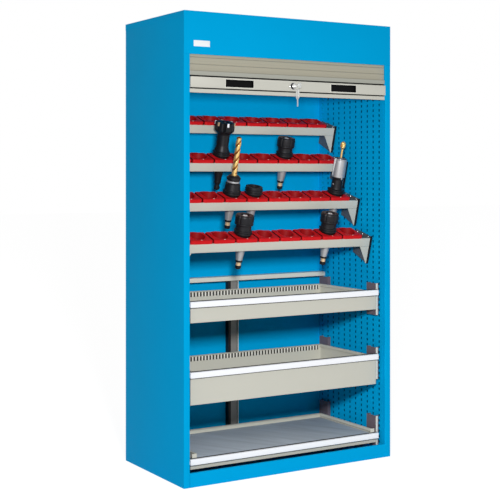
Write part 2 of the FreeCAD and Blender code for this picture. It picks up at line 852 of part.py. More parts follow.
def tool_holder():
    """Moulded insert: tile with a steep front and a rising deck, collar and skirt about a bore."""
    half = (holder_pitch - holder_gap) / 2
    top = holder_collar_height
    rear = holder_bore_y + holder_rear_radius
    plan = joined([
        box(-half, half, holder_edge, holder_side_depth, 0, top),
        cylinder(holder_rear_radius, (0, holder_bore_y, 0), (0, 0, 1), top),
    ])
    tile = plan.common(prism_along_x([
        (holder_edge, 0), (holder_edge, holder_front_height),
        (holder_shoulder_depth, holder_shoulder_height), (rear, holder_rear_height), (rear, 0),
    ], -half, half))
    bore_front = holder_bore_y - holder_bore_radius
    deck_slope = (holder_rear_height - holder_shoulder_height) / (rear - holder_shoulder_depth)
    deck_height = holder_shoulder_height + deck_slope * (bore_front - holder_shoulder_depth)
    collar = cylinder(holder_collar_radius, (0, holder_bore_y, 0), (0, 0, 1), top).common(prism_along_x([
        (bore_front, 0), (bore_front, deck_height), (bore_front + holder_collar_rise, top),
        (rear, top), (rear, 0),
    ], -half, half))
    skirt = cylinder(holder_skirt_radius, (0, holder_bore_y, -holder_skirt_depth), (0, 0, 1),
                     holder_skirt_depth)
    bore = cylinder(holder_bore_radius, (0, holder_bore_y, -holder_skirt_depth), (0, 0, 1),
                    holder_skirt_depth + top)
    lead_in = Part.makeCone(holder_bore_radius, holder_bore_radius + holder_lead_in, holder_lead_in,
                            FreeCAD.Vector(0, holder_bore_y, top - holder_lead_in))
    return joined([tile, collar, skirt]).cut(bore).cut(lead_in)


def holder_x(index):
    return (index - (holders_per_shelf - 1) / 2) * holder_pitch


# ---- tools in the holders ------------------------------------------------------------------
def outline_up(sections):
    """Points (radius, height above the gauge flange's seat) from (radius, rise) steps."""
    height = gauge_height
    points = []
    for radius, rise in sections:
        height += rise
        points.append((radius, height))
    return points


def top_of(sections):
    """Height of a tool's nose above its seat."""
    return gauge_height + sum(rise for _, rise in sections)


def tool_body(sections):
    """Pull stud, ringed steep taper, grooved gauge flange, then the given (radius, rise) outline."""
    seat = holder_collar_height + tool_seat_gap
    taper_low = seat - taper_length
    ring_low = taper_low - taper_ring_length
    stud_top = ring_low - stud_neck_length
    stud_low = stud_top - stud_head_length
    groove_low = gauge_groove_middle - gauge_groove_half
    groove_high = gauge_groove_middle + gauge_groove_half
    below = [(0, stud_low), (stud_tip_radius, stud_low), (stud_head_radius, stud_low + stud_tip_length),
             (stud_head_radius, stud_top), (stud_neck_radius, stud_top), (stud_neck_radius, ring_low),
             (taper_ring_radius, ring_low), (taper_ring_radius, taper_low),
             (taper_end_radius, taper_low), (taper_top_radius, seat)]
    above = [(gauge_radius - gauge_chamfer, 0.0), (gauge_radius, gauge_chamfer),
             (gauge_radius, groove_low), (gauge_groove_radius, gauge_groove_middle),
             (gauge_radius, groove_high), (gauge_radius, gauge_height)]
    above += outline_up(sections)
    above.append((0, top_of(sections)))
    return turned(below + [(radius, seat + height) for radius, height in above])


collet_chuck_outline = [
    (chuck_neck_radius, body_step), (chuck_neck_radius, chuck_neck_length - body_step),
    (nut_radius, nut_shoulder), (nut_radius, nut_length), (nut_nose_radius, nut_nose_length),
    (nut_mouth_radius, 0.0), (nut_mouth_floor_radius, -nut_nose_length),
]
face_mill_outline = [
    (arbor_root_radius, 2 * body_step), (arbor_radius, arbor_root_length - body_step),
    (arbor_radius, arbor_length), (cutter_low_radius, cutter_shoulder), (cutter_radius, cutter_length),
    (cutter_recess_radius, 0.0), (cutter_recess_radius, -cutter_recess_depth),
]
drill_chuck_outline = [
    (drill_chuck_root_radius, body_step), (drill_chuck_radius, drill_chuck_length),
    (drill_chuck_waist_radius, drill_chuck_step), (drill_chuck_waist_radius, drill_chuck_waist_length),
    (drill_chuck_sleeve_radius, drill_chuck_step),
    (drill_chuck_sleeve_radius, drill_chuck_sleeve_length),
    (drill_chuck_cone_radius, drill_chuck_cone_length), (drill_chuck_nose_radius, 0.0),
]
stub_adapter_outline = [
    (stub_radius, 3 * body_step), (stub_rim_radius, stub_length), (stub_bore_radius, 0.0),
    (stub_bore_radius, -stub_bore_depth),
]
end_mill_holder_outline = [
    (holder_body_radius, 2 * body_step), (holder_body_top_radius, holder_body_length),
    (holder_band_radius, holder_band_rise), (holder_band_radius, holder_band_height),
    (mill_sleeve_radius, body_step), (mill_sleeve_radius, mill_sleeve_length),
    (mill_nose_radius, mill_nose_length), (mill_nose_bore_radius, 0.0),
]


def standing_on(sections, profile):
    """Round cutter turned from a (radius, height) outline, its foot on the nose of a tool."""
    low = holder_collar_height + tool_seat_gap + top_of(sections)
    return turned([(radius, low + height) for radius, height in profile])


def twist_drill():
    straight = drill_length - drill_tip_length
    return standing_on(drill_chuck_outline, [
        (0, 0), (drill_radius, 0), (drill_radius, straight), (drill_tip_radius, drill_length),
        (0, drill_length),
    ])


def end_mill():
    cone_top = mill_shank_length + mill_cone_length
    flute_top = cone_top + mill_flute_length
    length = flute_top + mill_tip_length
    return standing_on(end_mill_holder_outline, [
        (0, 0), (mill_shank_radius, 0), (mill_shank_radius, mill_shank_length),
        (mill_flute_low_radius, cone_top), (mill_flute_radius, flute_top), (mill_tip_radius, length),
        (0, length),
    ])


# name, shelf counted from the top, holder counted from the left (from the right below zero), outline
tools = [
    ("face_mill", 1, 2, face_mill_outline),
    ("upper_collet_chuck", 1, 5, collet_chuck_outline),
    ("drill_chuck", 2, 2, drill_chuck_outline),
    ("stub_adapter", 2, 3, stub_adapter_outline),
    ("end_mill_holder", 2, -1, end_mill_holder_outline),
    ("left_collet_chuck", 3, 2, collet_chuck_outline),
    ("right_collet_chuck", 3, -2, collet_chuck_outline),
]


def in_holder(shape, shelf, index):
    column = index % holders_per_shelf
    return on_shelf(moved(shape, x=holder_x(column), y=holder_bore_y), shelf)


# ---- drawers, tray and runners -------------------------------------------------------------
def bottom_of(unit):
    return unit["top"] - unit["front"]


def deck_of(unit):
    return unit["top"] - unit["deck"]


def rim_of(unit):
    return unit["top"] - unit["rim"]


def rail_of(unit):
    return unit["top"] - unit["rail"]


def drawer_box(unit):
    """Open box with folded rims, ears that close them in front, and welded runner rails; divider
    slots under the rear rim."""
    x = drawer_half_width
    low = bottom_of(unit)
    rim = rim_of(unit)
    front = drawer_front_y
    rear = drawer_rear_y
    t = drawer_sheet
    deck = deck_of(unit)
    front_top = max(unit["top"] - handle_height / 2, deck + t)
    side = box(x - t, x, front, rear, low, rim)
    fold = joined([
        box(x - drawer_rim_width, x - t, front, rear - t, rim - t, rim),
        box(x - drawer_rim_width, x - drawer_rim_width + t, front, rear - t,
            rim - drawer_rim_height, rim - t),
    ])
    rear_fold = box(-x + drawer_rim_width, x - drawer_rim_width, rear - drawer_rim_width, rear - t,
                    rim - t, rim)
    ear = box(x - drawer_rim_width, x + drawer_ear_width, front - t, front, front_top, rim)
    rail = drawer_member(unit)
    shell = joined([
        rail,
        mirrored(rail),
        ear,
        mirrored(ear),
        box(-x, x, front, rear, deck, deck + t),
        side,
        mirrored(side),
        fold,
        mirrored(fold),
        box(-x, x, rear - t, rear, low, rim),
        rear_fold,
        box(-front_panel_half_width, front_panel_half_width, front - t, front, low, front_top),
    ])
    if not unit["slotted"]:
        return shell
    count = int((2 * x - 4 * drawer_rim_width) // divider_slot_pitch)
    first = -(count - 1) * divider_slot_pitch / 2
    top = rim - divider_slot_drop + divider_slot_height / 2
    slots = [box(first + i * divider_slot_pitch - divider_slot_width / 2,
                 first + i * divider_slot_pitch + divider_slot_width / 2,
                 rear - t, rear, top - divider_slot_height, top) for i in range(count)]
    return shell.cut(Part.makeCompound(slots))


def drawer_handle(unit):
    """Full-width grip profile: sloping cap and front lip open from below."""
    top = unit["top"]
    low = top - handle_height
    back = drawer_front_y - drawer_sheet
    front = drawer_front_y - handle_depth
    wall = handle_wall
    step = handle_chamfer
    return prism_along_x([
        (back, top), (front + step, top), (front, top - step), (front, low + step),
        (front + step, low), (front + wall, low), (front + wall, top - wall - step),
        (front + wall + step, top - wall), (back - wall, top - wall), (back - wall, low + step),
        (back, low + step),
    ], -handle_half_width, handle_half_width)


def drawer_member(unit):
    """Inner runner member: C rail welded to the drawer's side, open outwards."""
    x = drawer_half_width
    half = runner_height / 2 - 2 * (runner_sheet + runner_clearance)
    z = rail_of(unit)
    reach = x + runner_sheet + runner_overlap
    return joined([
        box(x, x + runner_sheet, runner_front_y, drawer_rear_y, z - half, z + half),
        box(x, reach, runner_front_y, drawer_rear_y, z + half - runner_sheet, z + half),
        box(x, reach, runner_front_y, drawer_rear_y, z - half, z - half + runner_sheet),
    ])


def cabinet_member(unit):
    """Outer runner member: C rail on the bracket, open towards the drawer."""
    z = rail_of(unit)
    half = runner_height / 2
    end = runner_rear_y
    reach = bracket_x - runner_sheet - runner_overlap
    return joined([
        box(bracket_x - runner_sheet, bracket_x, runner_front_y, end, z - half, z + half),
        box(reach, bracket_x, runner_front_y, end, z + half - runner_sheet, z + half),
        box(reach, bracket_x, runner_front_y, end, z - half, z - half + runner_sheet),
    ])


def middle_member(unit):
    """Floating H rail between the two C rails."""
    z = rail_of(unit)
    half = runner_height / 2 - runner_sheet - runner_clearance
    end = runner_rear_y
    low_x = drawer_half_width + runner_sheet + runner_clearance
    high_x = bracket_x - runner_sheet - runner_clearance
    web_x = (drawer_half_width + bracket_x) / 2 - runner_sheet / 2
    return joined([
        box(low_x, high_x, runner_front_y, end, z + half - runner_sheet, z + half),
        box(low_x, high_x, runner_front_y, end, z - half, z - half + runner_sheet),
        box(web_x, web_x + runner_sheet, runner_front_y, end, z - half, z + half),
    ])


def runner_bracket(unit, start_y):
    """Hat bracket between the perforated wall and the outer runner member, joggled in front."""
    low = rail_of(unit) - unit["down"]
    high = rail_of(unit) + unit["up"]
    end = start_y + bracket_depth
    inner = bracket_x
    step_x = inner + bracket_flange
    step_y = start_y + bracket_joggle
    return joined([
        box(inner, inner + bracket_sheet, start_y, end, low, high),
        box(inner, step_x, start_y, start_y + bracket_sheet, low, high),
        box(step_x - bracket_sheet, step_x, start_y, step_y, low, high),
        box(step_x, wall_x, step_y - bracket_sheet, step_y, low, high),
        box(inner, wall_x, end - bracket_sheet, end, low, high),
    ])


def tray_mat(unit):
    x = drawer_half_width - drawer_rim_width - mat_clearance
    low = deck_of(unit) + drawer_sheet
    return box(-x, x, drawer_front_y + mat_clearance, drawer_rear_y - drawer_rim_width - mat_clearance,
               low, low + mat_thickness)


# ---- write one STEP file for each node -----------------------------------------------------
def main():
    os.makedirs("parts", exist_ok=True)
    right_side = side_panel()
    right_wall = perforated_wall()
    right_channel = curtain_channel()
    save("right_side_panel", right_side)
    save("left_side_panel", mirrored(right_side))
    save("right_perforated_wall", right_wall)
    save("left_perforated_wall", mirrored(right_wall))
    save("right_curtain_channel", right_channel)
    save("left_curtain_channel", mirrored(right_channel))
    save("top_cover", top_cover())
    save("fascia", fascia())
    save("base_pan", base_pan())
    save("back_panel", back_panel())
    save("roll_cover", roll_cover())
    save("bolt_strikes", both_sides(bolt_strike()))
    save("rear_post", rear_post())
    save("rear_cross_bar", rear_cross_bar())

    save("drum_brackets", both_sides(drum_bracket()))
    save("drum_axle", drum_axle())
    save("drum_tube", drum_tube())
    save("torsion_spring", torsion_spring())
    save("rolled_slats", rolled_slats())

    save("hanging_slats", hanging_slats())
    save("end_bar", end_bar())
    save("grip_cups", [grip_cup(x) for x in grip_places()])
    save("lock_housing", lock_housing())
    save("lock_plug", lock_plug())
    save("lock_key", lock_key())
    save("key_ring", key_ring())
    save("spare_key", spare_key())
    right_bolt = lock_bolt()
    save("right_lock_bolt", right_bolt)
    save("left_lock_bolt", mirrored(right_bolt))

    frame = shelf_frame()
    holder = tool_holder()
    for shelf in range(shelf_count):
        save(f"shelf_frame_{shelf + 1}", on_shelf(frame, shelf))
        save(f"tool_holders_{shelf + 1}",
             [on_shelf(moved(holder, x=holder_x(i)), shelf) for i in range(holders_per_shelf)])
    bracket_pair = both_sides(shelf_bracket())
    save("shelf_brackets", [on_shelf(b, shelf) for shelf in range(shelf_count) for b in bracket_pair])
    for name, shelf, index, outline in tools:
        save(name, in_holder(tool_body(outline), shelf, index))
        if name == "drill_chuck":
            save("twist_drill", in_holder(twist_drill(), shelf, index))
        if name == "end_mill_holder":
            save("end_mill", in_holder(end_mill(), shelf, index))

    brackets = []
    cabinet_members = []
    for name, unit in drawer_units.items():
        save(name, drawer_box(unit))
        save(name + "_handle", drawer_handle(unit))
        save(name + "_middle_rails", both_sides(middle_member(unit)))
        cabinet_members += both_sides(cabinet_member(unit))
        for start_y in bracket_starts:
            brackets += both_sides(runner_bracket(unit, start_y))
    save("cabinet_rails", cabinet_members)
    save("runner_brackets", brackets)
    save("tray_mat", tray_mat(drawer_units["pull_out_tray"]))

    print("curtain travel", curtain_travel, "drum turn rad", round(coil_angle, 4),
          "ratio rad per m", round(coil_angle / curtain_travel * 1000, 5))
    print("drum centre y z", round(drum_y, 3), round(drum_z, 3), "coil radius", round(coil_radius, 3))
    print("lock z", lock_z, "ring y", ring_y, "spare key low",
          round(spare_hole_z + key_hole_from_end - spare_bow_length - spare_blade_length, 2))


main()
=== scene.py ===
# %% [markdown]
# # A roll front tool cabinet
# The cabinet is a folded steel carcass with a rolling curtain at the front, four tipped shelves of
# red tool holders, two drawers and a pull-out tray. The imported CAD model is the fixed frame: every
# piece below is made in its coordinates, so nothing has to be fitted afterwards.

# %% Load the frame
import json
import math

import bmesh
import bpy
import numpy as np
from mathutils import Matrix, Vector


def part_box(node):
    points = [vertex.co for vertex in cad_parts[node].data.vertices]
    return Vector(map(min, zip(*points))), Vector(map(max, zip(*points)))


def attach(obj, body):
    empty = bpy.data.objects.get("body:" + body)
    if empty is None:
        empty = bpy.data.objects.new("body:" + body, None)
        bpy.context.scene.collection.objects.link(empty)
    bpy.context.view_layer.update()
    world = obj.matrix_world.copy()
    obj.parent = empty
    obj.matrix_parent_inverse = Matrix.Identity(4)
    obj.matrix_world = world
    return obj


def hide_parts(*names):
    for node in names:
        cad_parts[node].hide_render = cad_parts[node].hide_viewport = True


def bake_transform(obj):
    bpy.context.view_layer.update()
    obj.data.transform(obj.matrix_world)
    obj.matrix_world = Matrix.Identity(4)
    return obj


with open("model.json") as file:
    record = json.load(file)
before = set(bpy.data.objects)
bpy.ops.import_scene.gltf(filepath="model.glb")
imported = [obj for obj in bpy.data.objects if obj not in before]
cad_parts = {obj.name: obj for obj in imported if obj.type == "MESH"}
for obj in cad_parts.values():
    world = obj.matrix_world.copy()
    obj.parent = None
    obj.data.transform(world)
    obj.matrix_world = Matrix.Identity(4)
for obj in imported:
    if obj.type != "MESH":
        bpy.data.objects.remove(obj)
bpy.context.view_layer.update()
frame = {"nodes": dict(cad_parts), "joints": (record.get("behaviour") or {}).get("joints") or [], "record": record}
nodes = frame["nodes"]
mm = 0.001

# %% [markdown]
# ## Camera
# The cabinet is seen from the front left, a little under eye height. The camera looks level, which
# keeps the uprights parallel, and its long lens is shifted down to frame the cabinet to its foot.

# %% Camera
camera_data = bpy.data.cameras.new("camera")
camera_data.sensor_width = 36.0
camera_data.lens = 84.094
camera_data.shift_y = -0.1539
camera = bpy.data.objects.new("camera", camera_data)
camera.location = (-2.7664, -4.4782, 1.2881)
camera.rotation_euler = (math.radians(90 - 0.029), 0, math.radians(-31.266))
bpy.context.scene.collection.objects.link(camera)
bpy.context.scene.camera = camera
print("camera", [round(v, 3) for v in camera.location])

# %% [markdown]
# ## Light
# A product shot like this one has one small lamp beside the camera and an even pale room. The lamp
# gives each drawer and shelf a shadow with a narrow soft edge on the walls behind, and the room fills
# it. The back wall is as bright as the front, so a Light Falloff node keeps the lamp's light the same
# at every distance. The world shows white to the camera and in reflections, and lights the object
# with less.

# %% Shader node helpers


def shader_node(tree, kind, **values):
    """New node with these values on its inputs; an underscore in a name stands for a space."""
    node = tree.nodes.new("ShaderNode" + kind)
    for socket, value in values.items():
        node.inputs[socket.replace("_", " ")].default_value = value
    return node


def link(tree, *pairs):
    """Link each pair of an output and an input."""
    for output, socket in pairs:
        tree.links.new(output, socket)


def seen_by(tree, *rays):
    """1 for rays of any of these kinds and 0 for others: the largest of Light Path's outputs."""
    path = shader_node(tree, "LightPath").outputs
    largest = path[rays[0]]
    for kind in rays[1:]:
        larger = shader_node(tree, "Math")
        larger.operation = "MAXIMUM"
        link(tree, (largest, larger.inputs[0]), (path[kind], larger.inputs[1]))
        largest = larger.outputs[0]
    return largest


# %% Lamp and room
scene = bpy.context.scene
scene.view_settings.view_transform = "Standard"
room_strength = 0.34
lamp_place = (-1.55, -2.7, 1.49)
lamp_target = (0.0, 0.0, 0.95)
lamp_power = 7.7
white = (1, 1, 1, 1)

lamp_data = bpy.data.lights.new("soft_lamp", "AREA")
lamp_data.energy = lamp_power
lamp_data.size = 0.3
lamp_data.use_nodes = True
lamp_tree = lamp_data.node_tree
falloff = shader_node(lamp_tree, "LightFalloff", Strength=1.0)
link(lamp_tree, (falloff.outputs["Constant"], lamp_tree.nodes["Emission"].inputs["Strength"]))
lamp = bpy.data.objects.new("soft_lamp", lamp_data)
lamp.location = lamp_place
aim = np.subtract(lamp_target, lamp_place)
lamp.rotation_euler = (math.acos(-aim[2] / np.linalg.norm(aim)), 0, math.atan2(-aim[0], aim[1]))
scene.collection.objects.link(lamp)

world = bpy.data.worlds.new("pale_room")
scene.world = world
world.use_nodes = True
tree = world.node_tree
tree.nodes.clear()
shown = seen_by(tree, "Is Glossy Ray", "Is Transmission Ray", "Is Camera Ray")
fill = shader_node(tree, "Background", Strength=room_strength, Color=white)
plain = shader_node(tree, "Background", Color=white)
choose = shader_node(tree, "MixShader")
world_out = shader_node(tree, "OutputWorld")
link(tree, (shown, choose.inputs["Fac"]), (fill.outputs[0], choose.inputs[1]),
     (plain.outputs[0], choose.inputs[2]), (choose.outputs[0], world_out.inputs["Surface"]))
print("lamp at", lamp_place, "power", lamp_power)

# %% [markdown]
# ## Finishes
# Nearly all of a cabinet is paint, plastic and metal, and none of them is one flat colour: powder
# coat has a fine orange peel, brushed metal has streaks along its length, black oxide is blotchy. One
# function makes them all from two noise patterns on Object coordinates, so a pattern keeps its real
# size on every piece. Values that are the same all over go straight on the shader's sockets; the
# paint's specular level is low, because the white room would else wash its colour out.

# %% Finish helper
finishes = {}
noise_low, noise_high = 0.3, 0.7


def linear(*rgb):
    """Linear colour of an sRGB colour given as 0 to 255: ((c / 255 + 0.055) / 1.055) ^ 2.4."""
    c = np.array(rgb) / 255.0
    return np.where(c > 0.04045, ((c + 0.055) / 1.055) ** 2.4, c / 12.92)


def finish(name, rgb, roughness, metallic=0.0, mottle=0.05, patch=70.0, grain=1.5,
           relief=0.02, stretch=(1, 1, 1), turn=0.0, gloss_spread=0.06, specular=0.25):
    """Principled finish, kept in `finishes`. A coarse noise takes the colour from (1 - mottle) to
    (1 + mottle) times itself; a fine one moves the roughness by gloss_spread and the surface by
    relief. Patches, grain and relief are in mm, and `turn` turns the stretched axes about Z."""
    material = bpy.data.materials.new(name)
    material.use_nodes = True
    t = material.node_tree
    shader = t.nodes["Principled BSDF"]
    shader.inputs["Metallic"].default_value = metallic
    shader.inputs["Specular IOR Level"].default_value = specular
    place = shader_node(t, "TexCoord")
    mapping = shader_node(t, "Mapping", Rotation=(0, 0, turn), Scale=stretch)
    mapping.vector_type = "TEXTURE"
    coarse = shader_node(t, "TexNoise", Scale=1 / (patch * mm), Detail=4.0)
    fine = shader_node(t, "TexNoise", Scale=1 / (grain * mm), Detail=2.0)
    colour = shader_node(t, "Mix")
    colour.data_type = "RGBA"
    for socket, factor in (("A", 1 - mottle), ("B", 1 + mottle)):
        colour.inputs[socket].default_value = (*np.clip(linear(*rgb) * factor, 0, 1), 1)
    gloss = shader_node(t, "MapRange", From_Min=noise_low, From_Max=noise_high,
                        To_Min=max(roughness - gloss_spread, 0.02),
                        To_Max=min(roughness + gloss_spread, 1.0))
    bump = shader_node(t, "Bump", Distance=relief * mm)
    link(t, (place.outputs["Object"], mapping.inputs["Vector"]),
         (mapping.outputs["Vector"], coarse.inputs["Vector"]),
         (mapping.outputs["Vector"], fine.inputs["Vector"]),
         (coarse.outputs["Fac"], colour.inputs["Factor"]),
         (colour.outputs["Result"], shader.inputs["Base Color"]),
         (fine.outputs["Fac"], gloss.inputs["Value"]),
         (gloss.outputs["Result"], shader.inputs["Roughness"]),
         (fine.outputs["Fac"], bump.inputs["Height"]),
         (bump.outputs["Normal"], shader.inputs["Normal"]))
    finishes[name] = material


# %% [markdown]
# The streaks of drawn or brushed metal run along the piece: the pattern is stretched along X for
# bars that lie across the cabinet, along Z for uprights.

# %% The cabinet's finishes
along_x, along_z = (60, 1, 1), (1, 1, 60)
powder = dict(grain=1.2, relief=0.03)
drawn = dict(patch=30, grain=0.5, relief=0.01, stretch=along_x)
zinc = dict(patch=14, grain=2.0, relief=0.01)

finish("blue_paint", (0, 160, 217), 0.42, mottle=0.03, patch=180, specular=0.01, **powder)
finish("slat_plastic", (168, 164, 147), 0.5, mottle=0.06, patch=40, grain=0.8,
       relief=0.01, stretch=along_x)
finish("bar_aluminium", (198, 197, 187), 0.42, 0.15, mottle=0.03, **drawn)
finish("handle_aluminium", (244, 246, 250), 0.4, 0.1, mottle=0.02, **drawn)
finish("black_plastic", (8, 8, 9), 0.45, mottle=0.2, patch=12, grain=0.7,
       relief=0.03, specular=0.08)
finish("bright_steel", (205, 205, 208), 0.28, 0.95, patch=20, grain=0.4, relief=0.006)
finish("nickel", (206, 206, 204), 0.2, 0.8, mottle=0.03, patch=8, grain=0.6,
       relief=0.002, gloss_spread=0.03)
finish("galvanised", (168, 168, 172), 0.42, 0.75, mottle=0.14, stretch=along_z, **zinc)
finish("grey_paint", (197, 196, 185), 0.46, mottle=0.025, patch=160, **powder)
finish("red_plastic", (202, 24, 30), 0.42, mottle=0.07, patch=30, grain=1.0, specular=0.1)
finish("black_steel", (33, 33, 36), 0.42, 0.35, mottle=0.25, patch=9, grain=0.5,
       relief=0.01)
finish("gold_carbide", (240, 198, 124), 0.28, 0.65, mottle=0.12, patch=6, grain=0.5,
       relief=0.004)
# The strong streaked mottle paints the mat's sheen in slanting bands.
finish("mat_rubber", (174, 183, 193), 0.7, mottle=0.3, patch=38, grain=1.6,
       relief=0.08, stretch=(1, 9, 1), turn=0.5)
finish("spring_steel", (120, 118, 112), 0.35, 0.9, mottle=0.1, patch=8)
print("finishes", len(finishes))

# %% [markdown]
# Each CAD node takes the finish that the record names for it. Nodes that are replaced below are
# hidden, and the rest are seen with this finish.

# %% Finish the CAD nodes
for row in frame["record"]["subparts"]:
    mesh = nodes[row["node"]].data
    mesh.materials.clear()
    mesh.materials.append(finishes[row["material_slot"]])

# %% [markdown]
# ## Surfaces from arrays
# A shape here is a pair: an array of points in millimetres, and groups of faces, each with the
# number of its material. Nearly everything on the cabinet is either a sheet folded along a line, a
# bar of one section, or something turned on a lathe, so three functions make most of it.

# %% Shapes and pieces


def outward(points, groups):
    """Turn a closed shape's faces outwards: the sum of a . (b x c) / 6 over its triangles, which is
    its volume, has to be positive."""
    volume = 0.0
    for corners, _ in groups:
        fan = points[corners]
        volume += (fan[:, :1] * np.cross(fan[:, 1:-1], fan[:, 2:])).sum()
    if volume < 0:
        groups = [(corners[:, ::-1], mark) for corners, mark in groups]
    return points, groups


def together(*shapes):
    """One shape from several, each with its faces' corner numbers moved past those before it."""
    starts = np.cumsum([0] + [len(points) for points, _ in shapes])
    groups = [(corners + start, mark)
              for (_, faces), start in zip(shapes, starts) for corners, mark in faces]
    return np.vstack([points for points, _ in shapes]), groups


def changed(shape, change):
    """The shape with its points at change(x, y, z); a mirror image is turned right side out."""
    points, groups = shape
    return outward(np.stack(change(*points.T), 1), groups)


def moved(shape, x=0.0, y=0.0, z=0.0):
    """The shape moved along the axes."""
    return shape[0] + (x, y, z), shape[1]


def mirrored(shape):
    """The shape's mirror image on the other side of the YZ plane."""
    return changed(shape, lambda x, y, z: (-x, y, z))


def both_sides(shape):
    """The shape and its mirror image in one."""
    return together(shape, mirrored(shape))


def painted(shape, mark):
    """The shape with material number `mark` on all its faces."""
    return shape[0], [(corners, mark) for corners, _ in shape[1]]


def marked(shape, rule, mark):
    """The shape with material number `mark` on each face whose middle fulfils rule(x, y, z)."""
    points, groups = shape
    split = []
    for corners, old_mark in groups:
        inside = rule(*points[corners].mean(1).T)
        split += [(corners[inside], mark), (corners[~inside], old_mark)]
    return points, [(corners, number) for corners, number in split if len(corners)]


def piece(name, shape, body, slot, replaces=(), looks=None, smooth=35.0):
    """Put a shape into a mesh with foreach_set, smooth it except at edges sharper than `smooth`
    degrees, and make it ride on its body."""
    points, groups = shape
    sizes = np.concatenate([np.full(len(corners), corners.shape[1]) for corners, _ in groups])
    marks = np.concatenate([np.full(len(corners), mark) for corners, mark in groups])
    corners = np.concatenate([corners.ravel() for corners, _ in groups])
    mesh = bpy.data.meshes.new(name)
    mesh.vertices.add(len(points))
    mesh.vertices.foreach_set("co", (points * mm).ravel())
    mesh.loops.add(len(corners))
    mesh.loops.foreach_set("vertex_index", corners)
    mesh.polygons.add(len(sizes))
    mesh.polygons.foreach_set("loop_start", np.cumsum(sizes) - sizes)
    mesh.polygons.foreach_set("material_index", marks)
    mesh.update(calc_edges=True)
    return seated(name, mesh, body, slot, replaces, looks, smooth)


def seated(name, mesh, body, slot, replaces, looks, smooth):
    """Object for a finished mesh. It rides on its body, and the nodes it stands for are hidden. `looks`
    names the finishes of its material numbers; without it, the piece has the slot's own."""
    for look in looks or [slot]:
        mesh.materials.append(finishes[look])
    mesh.shade_smooth()
    mesh.set_sharp_from_angle(angle=math.radians(smooth))
    thing = bpy.data.objects.new(name, mesh)
    scene.collection.objects.link(thing)
    if body:
        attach(thing, body)
    if replaces:
        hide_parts(*replaces)
    print(f"{name}: {len(mesh.vertices)} points, {len(mesh.polygons)} faces")
    return thing


def span(node):
    """Lowest and highest corner of a CAD node in millimetres."""
    low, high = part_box(node)
    return np.array(low) / mm, np.array(high) / mm


# %% [markdown]
# ### Outlines
# A section is a closed outline in a plane. Real corners are never sharp, so `rounded` puts a small
# quadratic Bezier curve at each one, and `folded` gives a bent sheet its thickness and its bends.

# %% Rounded and folded outlines
sheet, bend_radius = 1.5, 3.0


def rounded(points, reach, closed=True, steps=4):
    """Corner P of an outline becomes (1-t)^2 A + 2t(1-t) P + t^2 B, with A and B `reach` before and
    after P along its two edges, and at most 0.45 of the shorter edge away."""
    p = np.asarray(points, float)
    d = np.broadcast_to(np.asarray(reach, float), len(p))[:, None]
    before = np.roll(p, 1, 0) - p
    after = np.roll(p, -1, 0) - p
    if not closed:
        before[0] = after[0]
        after[-1] = before[-1]
        d = d * np.r_[0, np.ones(len(p) - 2), 0][:, None]
    to_before = np.linalg.norm(before, axis=1, keepdims=True)
    to_after = np.linalg.norm(after, axis=1, keepdims=True)
    d = np.minimum(d, 0.45 * np.minimum(to_before, to_after))
    a = (p + before / to_before * d)[:, None]
    b = (p + after / to_after * d)[:, None]
    t = np.linspace(0, 1, steps + 1)[None, :, None]
    curve = ((1 - t) ** 2 * a + 2 * t * (1 - t) * p[:, None] + t ** 2 * b).reshape(-1, p.shape[1])
    step = np.linalg.norm(curve - np.roll(curve, 1, 0), axis=1)
    step[0] = 1.0 if not closed else step[0]
    return curve[step > 1e-4]


def folded(path, bend=bend_radius):
    """Closed outline of a bent sheet whose one face follows `path` and whose metal lies to the left
    of it. The other face is offset by sheet (n1 + n2) / (1 + n1 . n2) at each bend."""
    p = np.asarray(path, float)
    step = np.diff(p, axis=0)
    step /= np.linalg.norm(step, axis=1, keepdims=True)
    left = np.stack([-step[:, 1], step[:, 0]], 1)
    n1 = np.vstack([left[:1], left])
    n2 = np.vstack([left, left[-1:]])
    other = p + sheet * (n1 + n2) / (1 + (n1 * n2).sum(1, keepdims=True))
    turn = np.r_[0, step[:-1, 0] * step[1:, 1] - step[:-1, 1] * step[1:, 0], 0]
    tight = bend - sheet
    reach = np.where(turn > 0, bend, tight)
    other_reach = np.where(turn > 0, tight, bend)
    reach[[0, -1]] = other_reach[[0, -1]] = 0.3 * sheet
    return rounded(np.vstack([p, other[::-1]]), np.r_[reach, other_reach[::-1]])


def carried(outline, start, end, axis, mark=0):
    """Solid of a closed outline carried straight from start to end along axis 0, 1 or 2."""
    count = len(outline)
    points = np.vstack([np.insert(outline, axis, start, axis=1), np.insert(outline, axis, end, axis=1)])
    i = np.arange(count)
    j = np.roll(i, -1)
    sides = np.stack([i, j, j + count, i + count], 1)
    return outward(points, [(sides, mark), (i[None, ::-1], mark), ((i + count)[None], mark)])


def bent(path, start, end, axis, bend=bend_radius):
    """Sheet folded along `path` and carried straight from start to end along an axis."""
    return carried(folded(path, bend), start, end, axis)


def rectangle(x0, x1, y0, y1):
    """Outline of a rectangle, from corner (x0, y0) by way of (x1, y0)."""
    return [(x0, y0), (x1, y0), (x1, y1), (x0, y1)]


def block(x0, x1, y0, y1, z0, z1, ease=0.6, mark=0):
    """Bar from x0 to x1 whose section in the YZ plane has its four corners eased."""
    return carried(rounded(rectangle(y0, y1, z0, z1), ease, steps=3), x0, x1, 0, mark)


# %% [markdown]
# ### Turned, lofted and fully rounded shapes
# A lathe part is a stack of rings. The same stack of closed rows also makes a moulded cup or a key
# bow, so `lofted` takes any rows, and closes each end to a point or joins the last row to the first.

# %% Lofted, turned and rounded boxes


def angles(count):
    """Even steps of angle round a circle."""
    return np.linspace(0, 2 * np.pi, count, endpoint=False)


def quads(grid):
    """The four corner numbers of each cell of a grid of point numbers."""
    return np.stack([grid[:-1, :-1], grid[1:, :-1], grid[1:, 1:], grid[:-1, 1:]], -1)


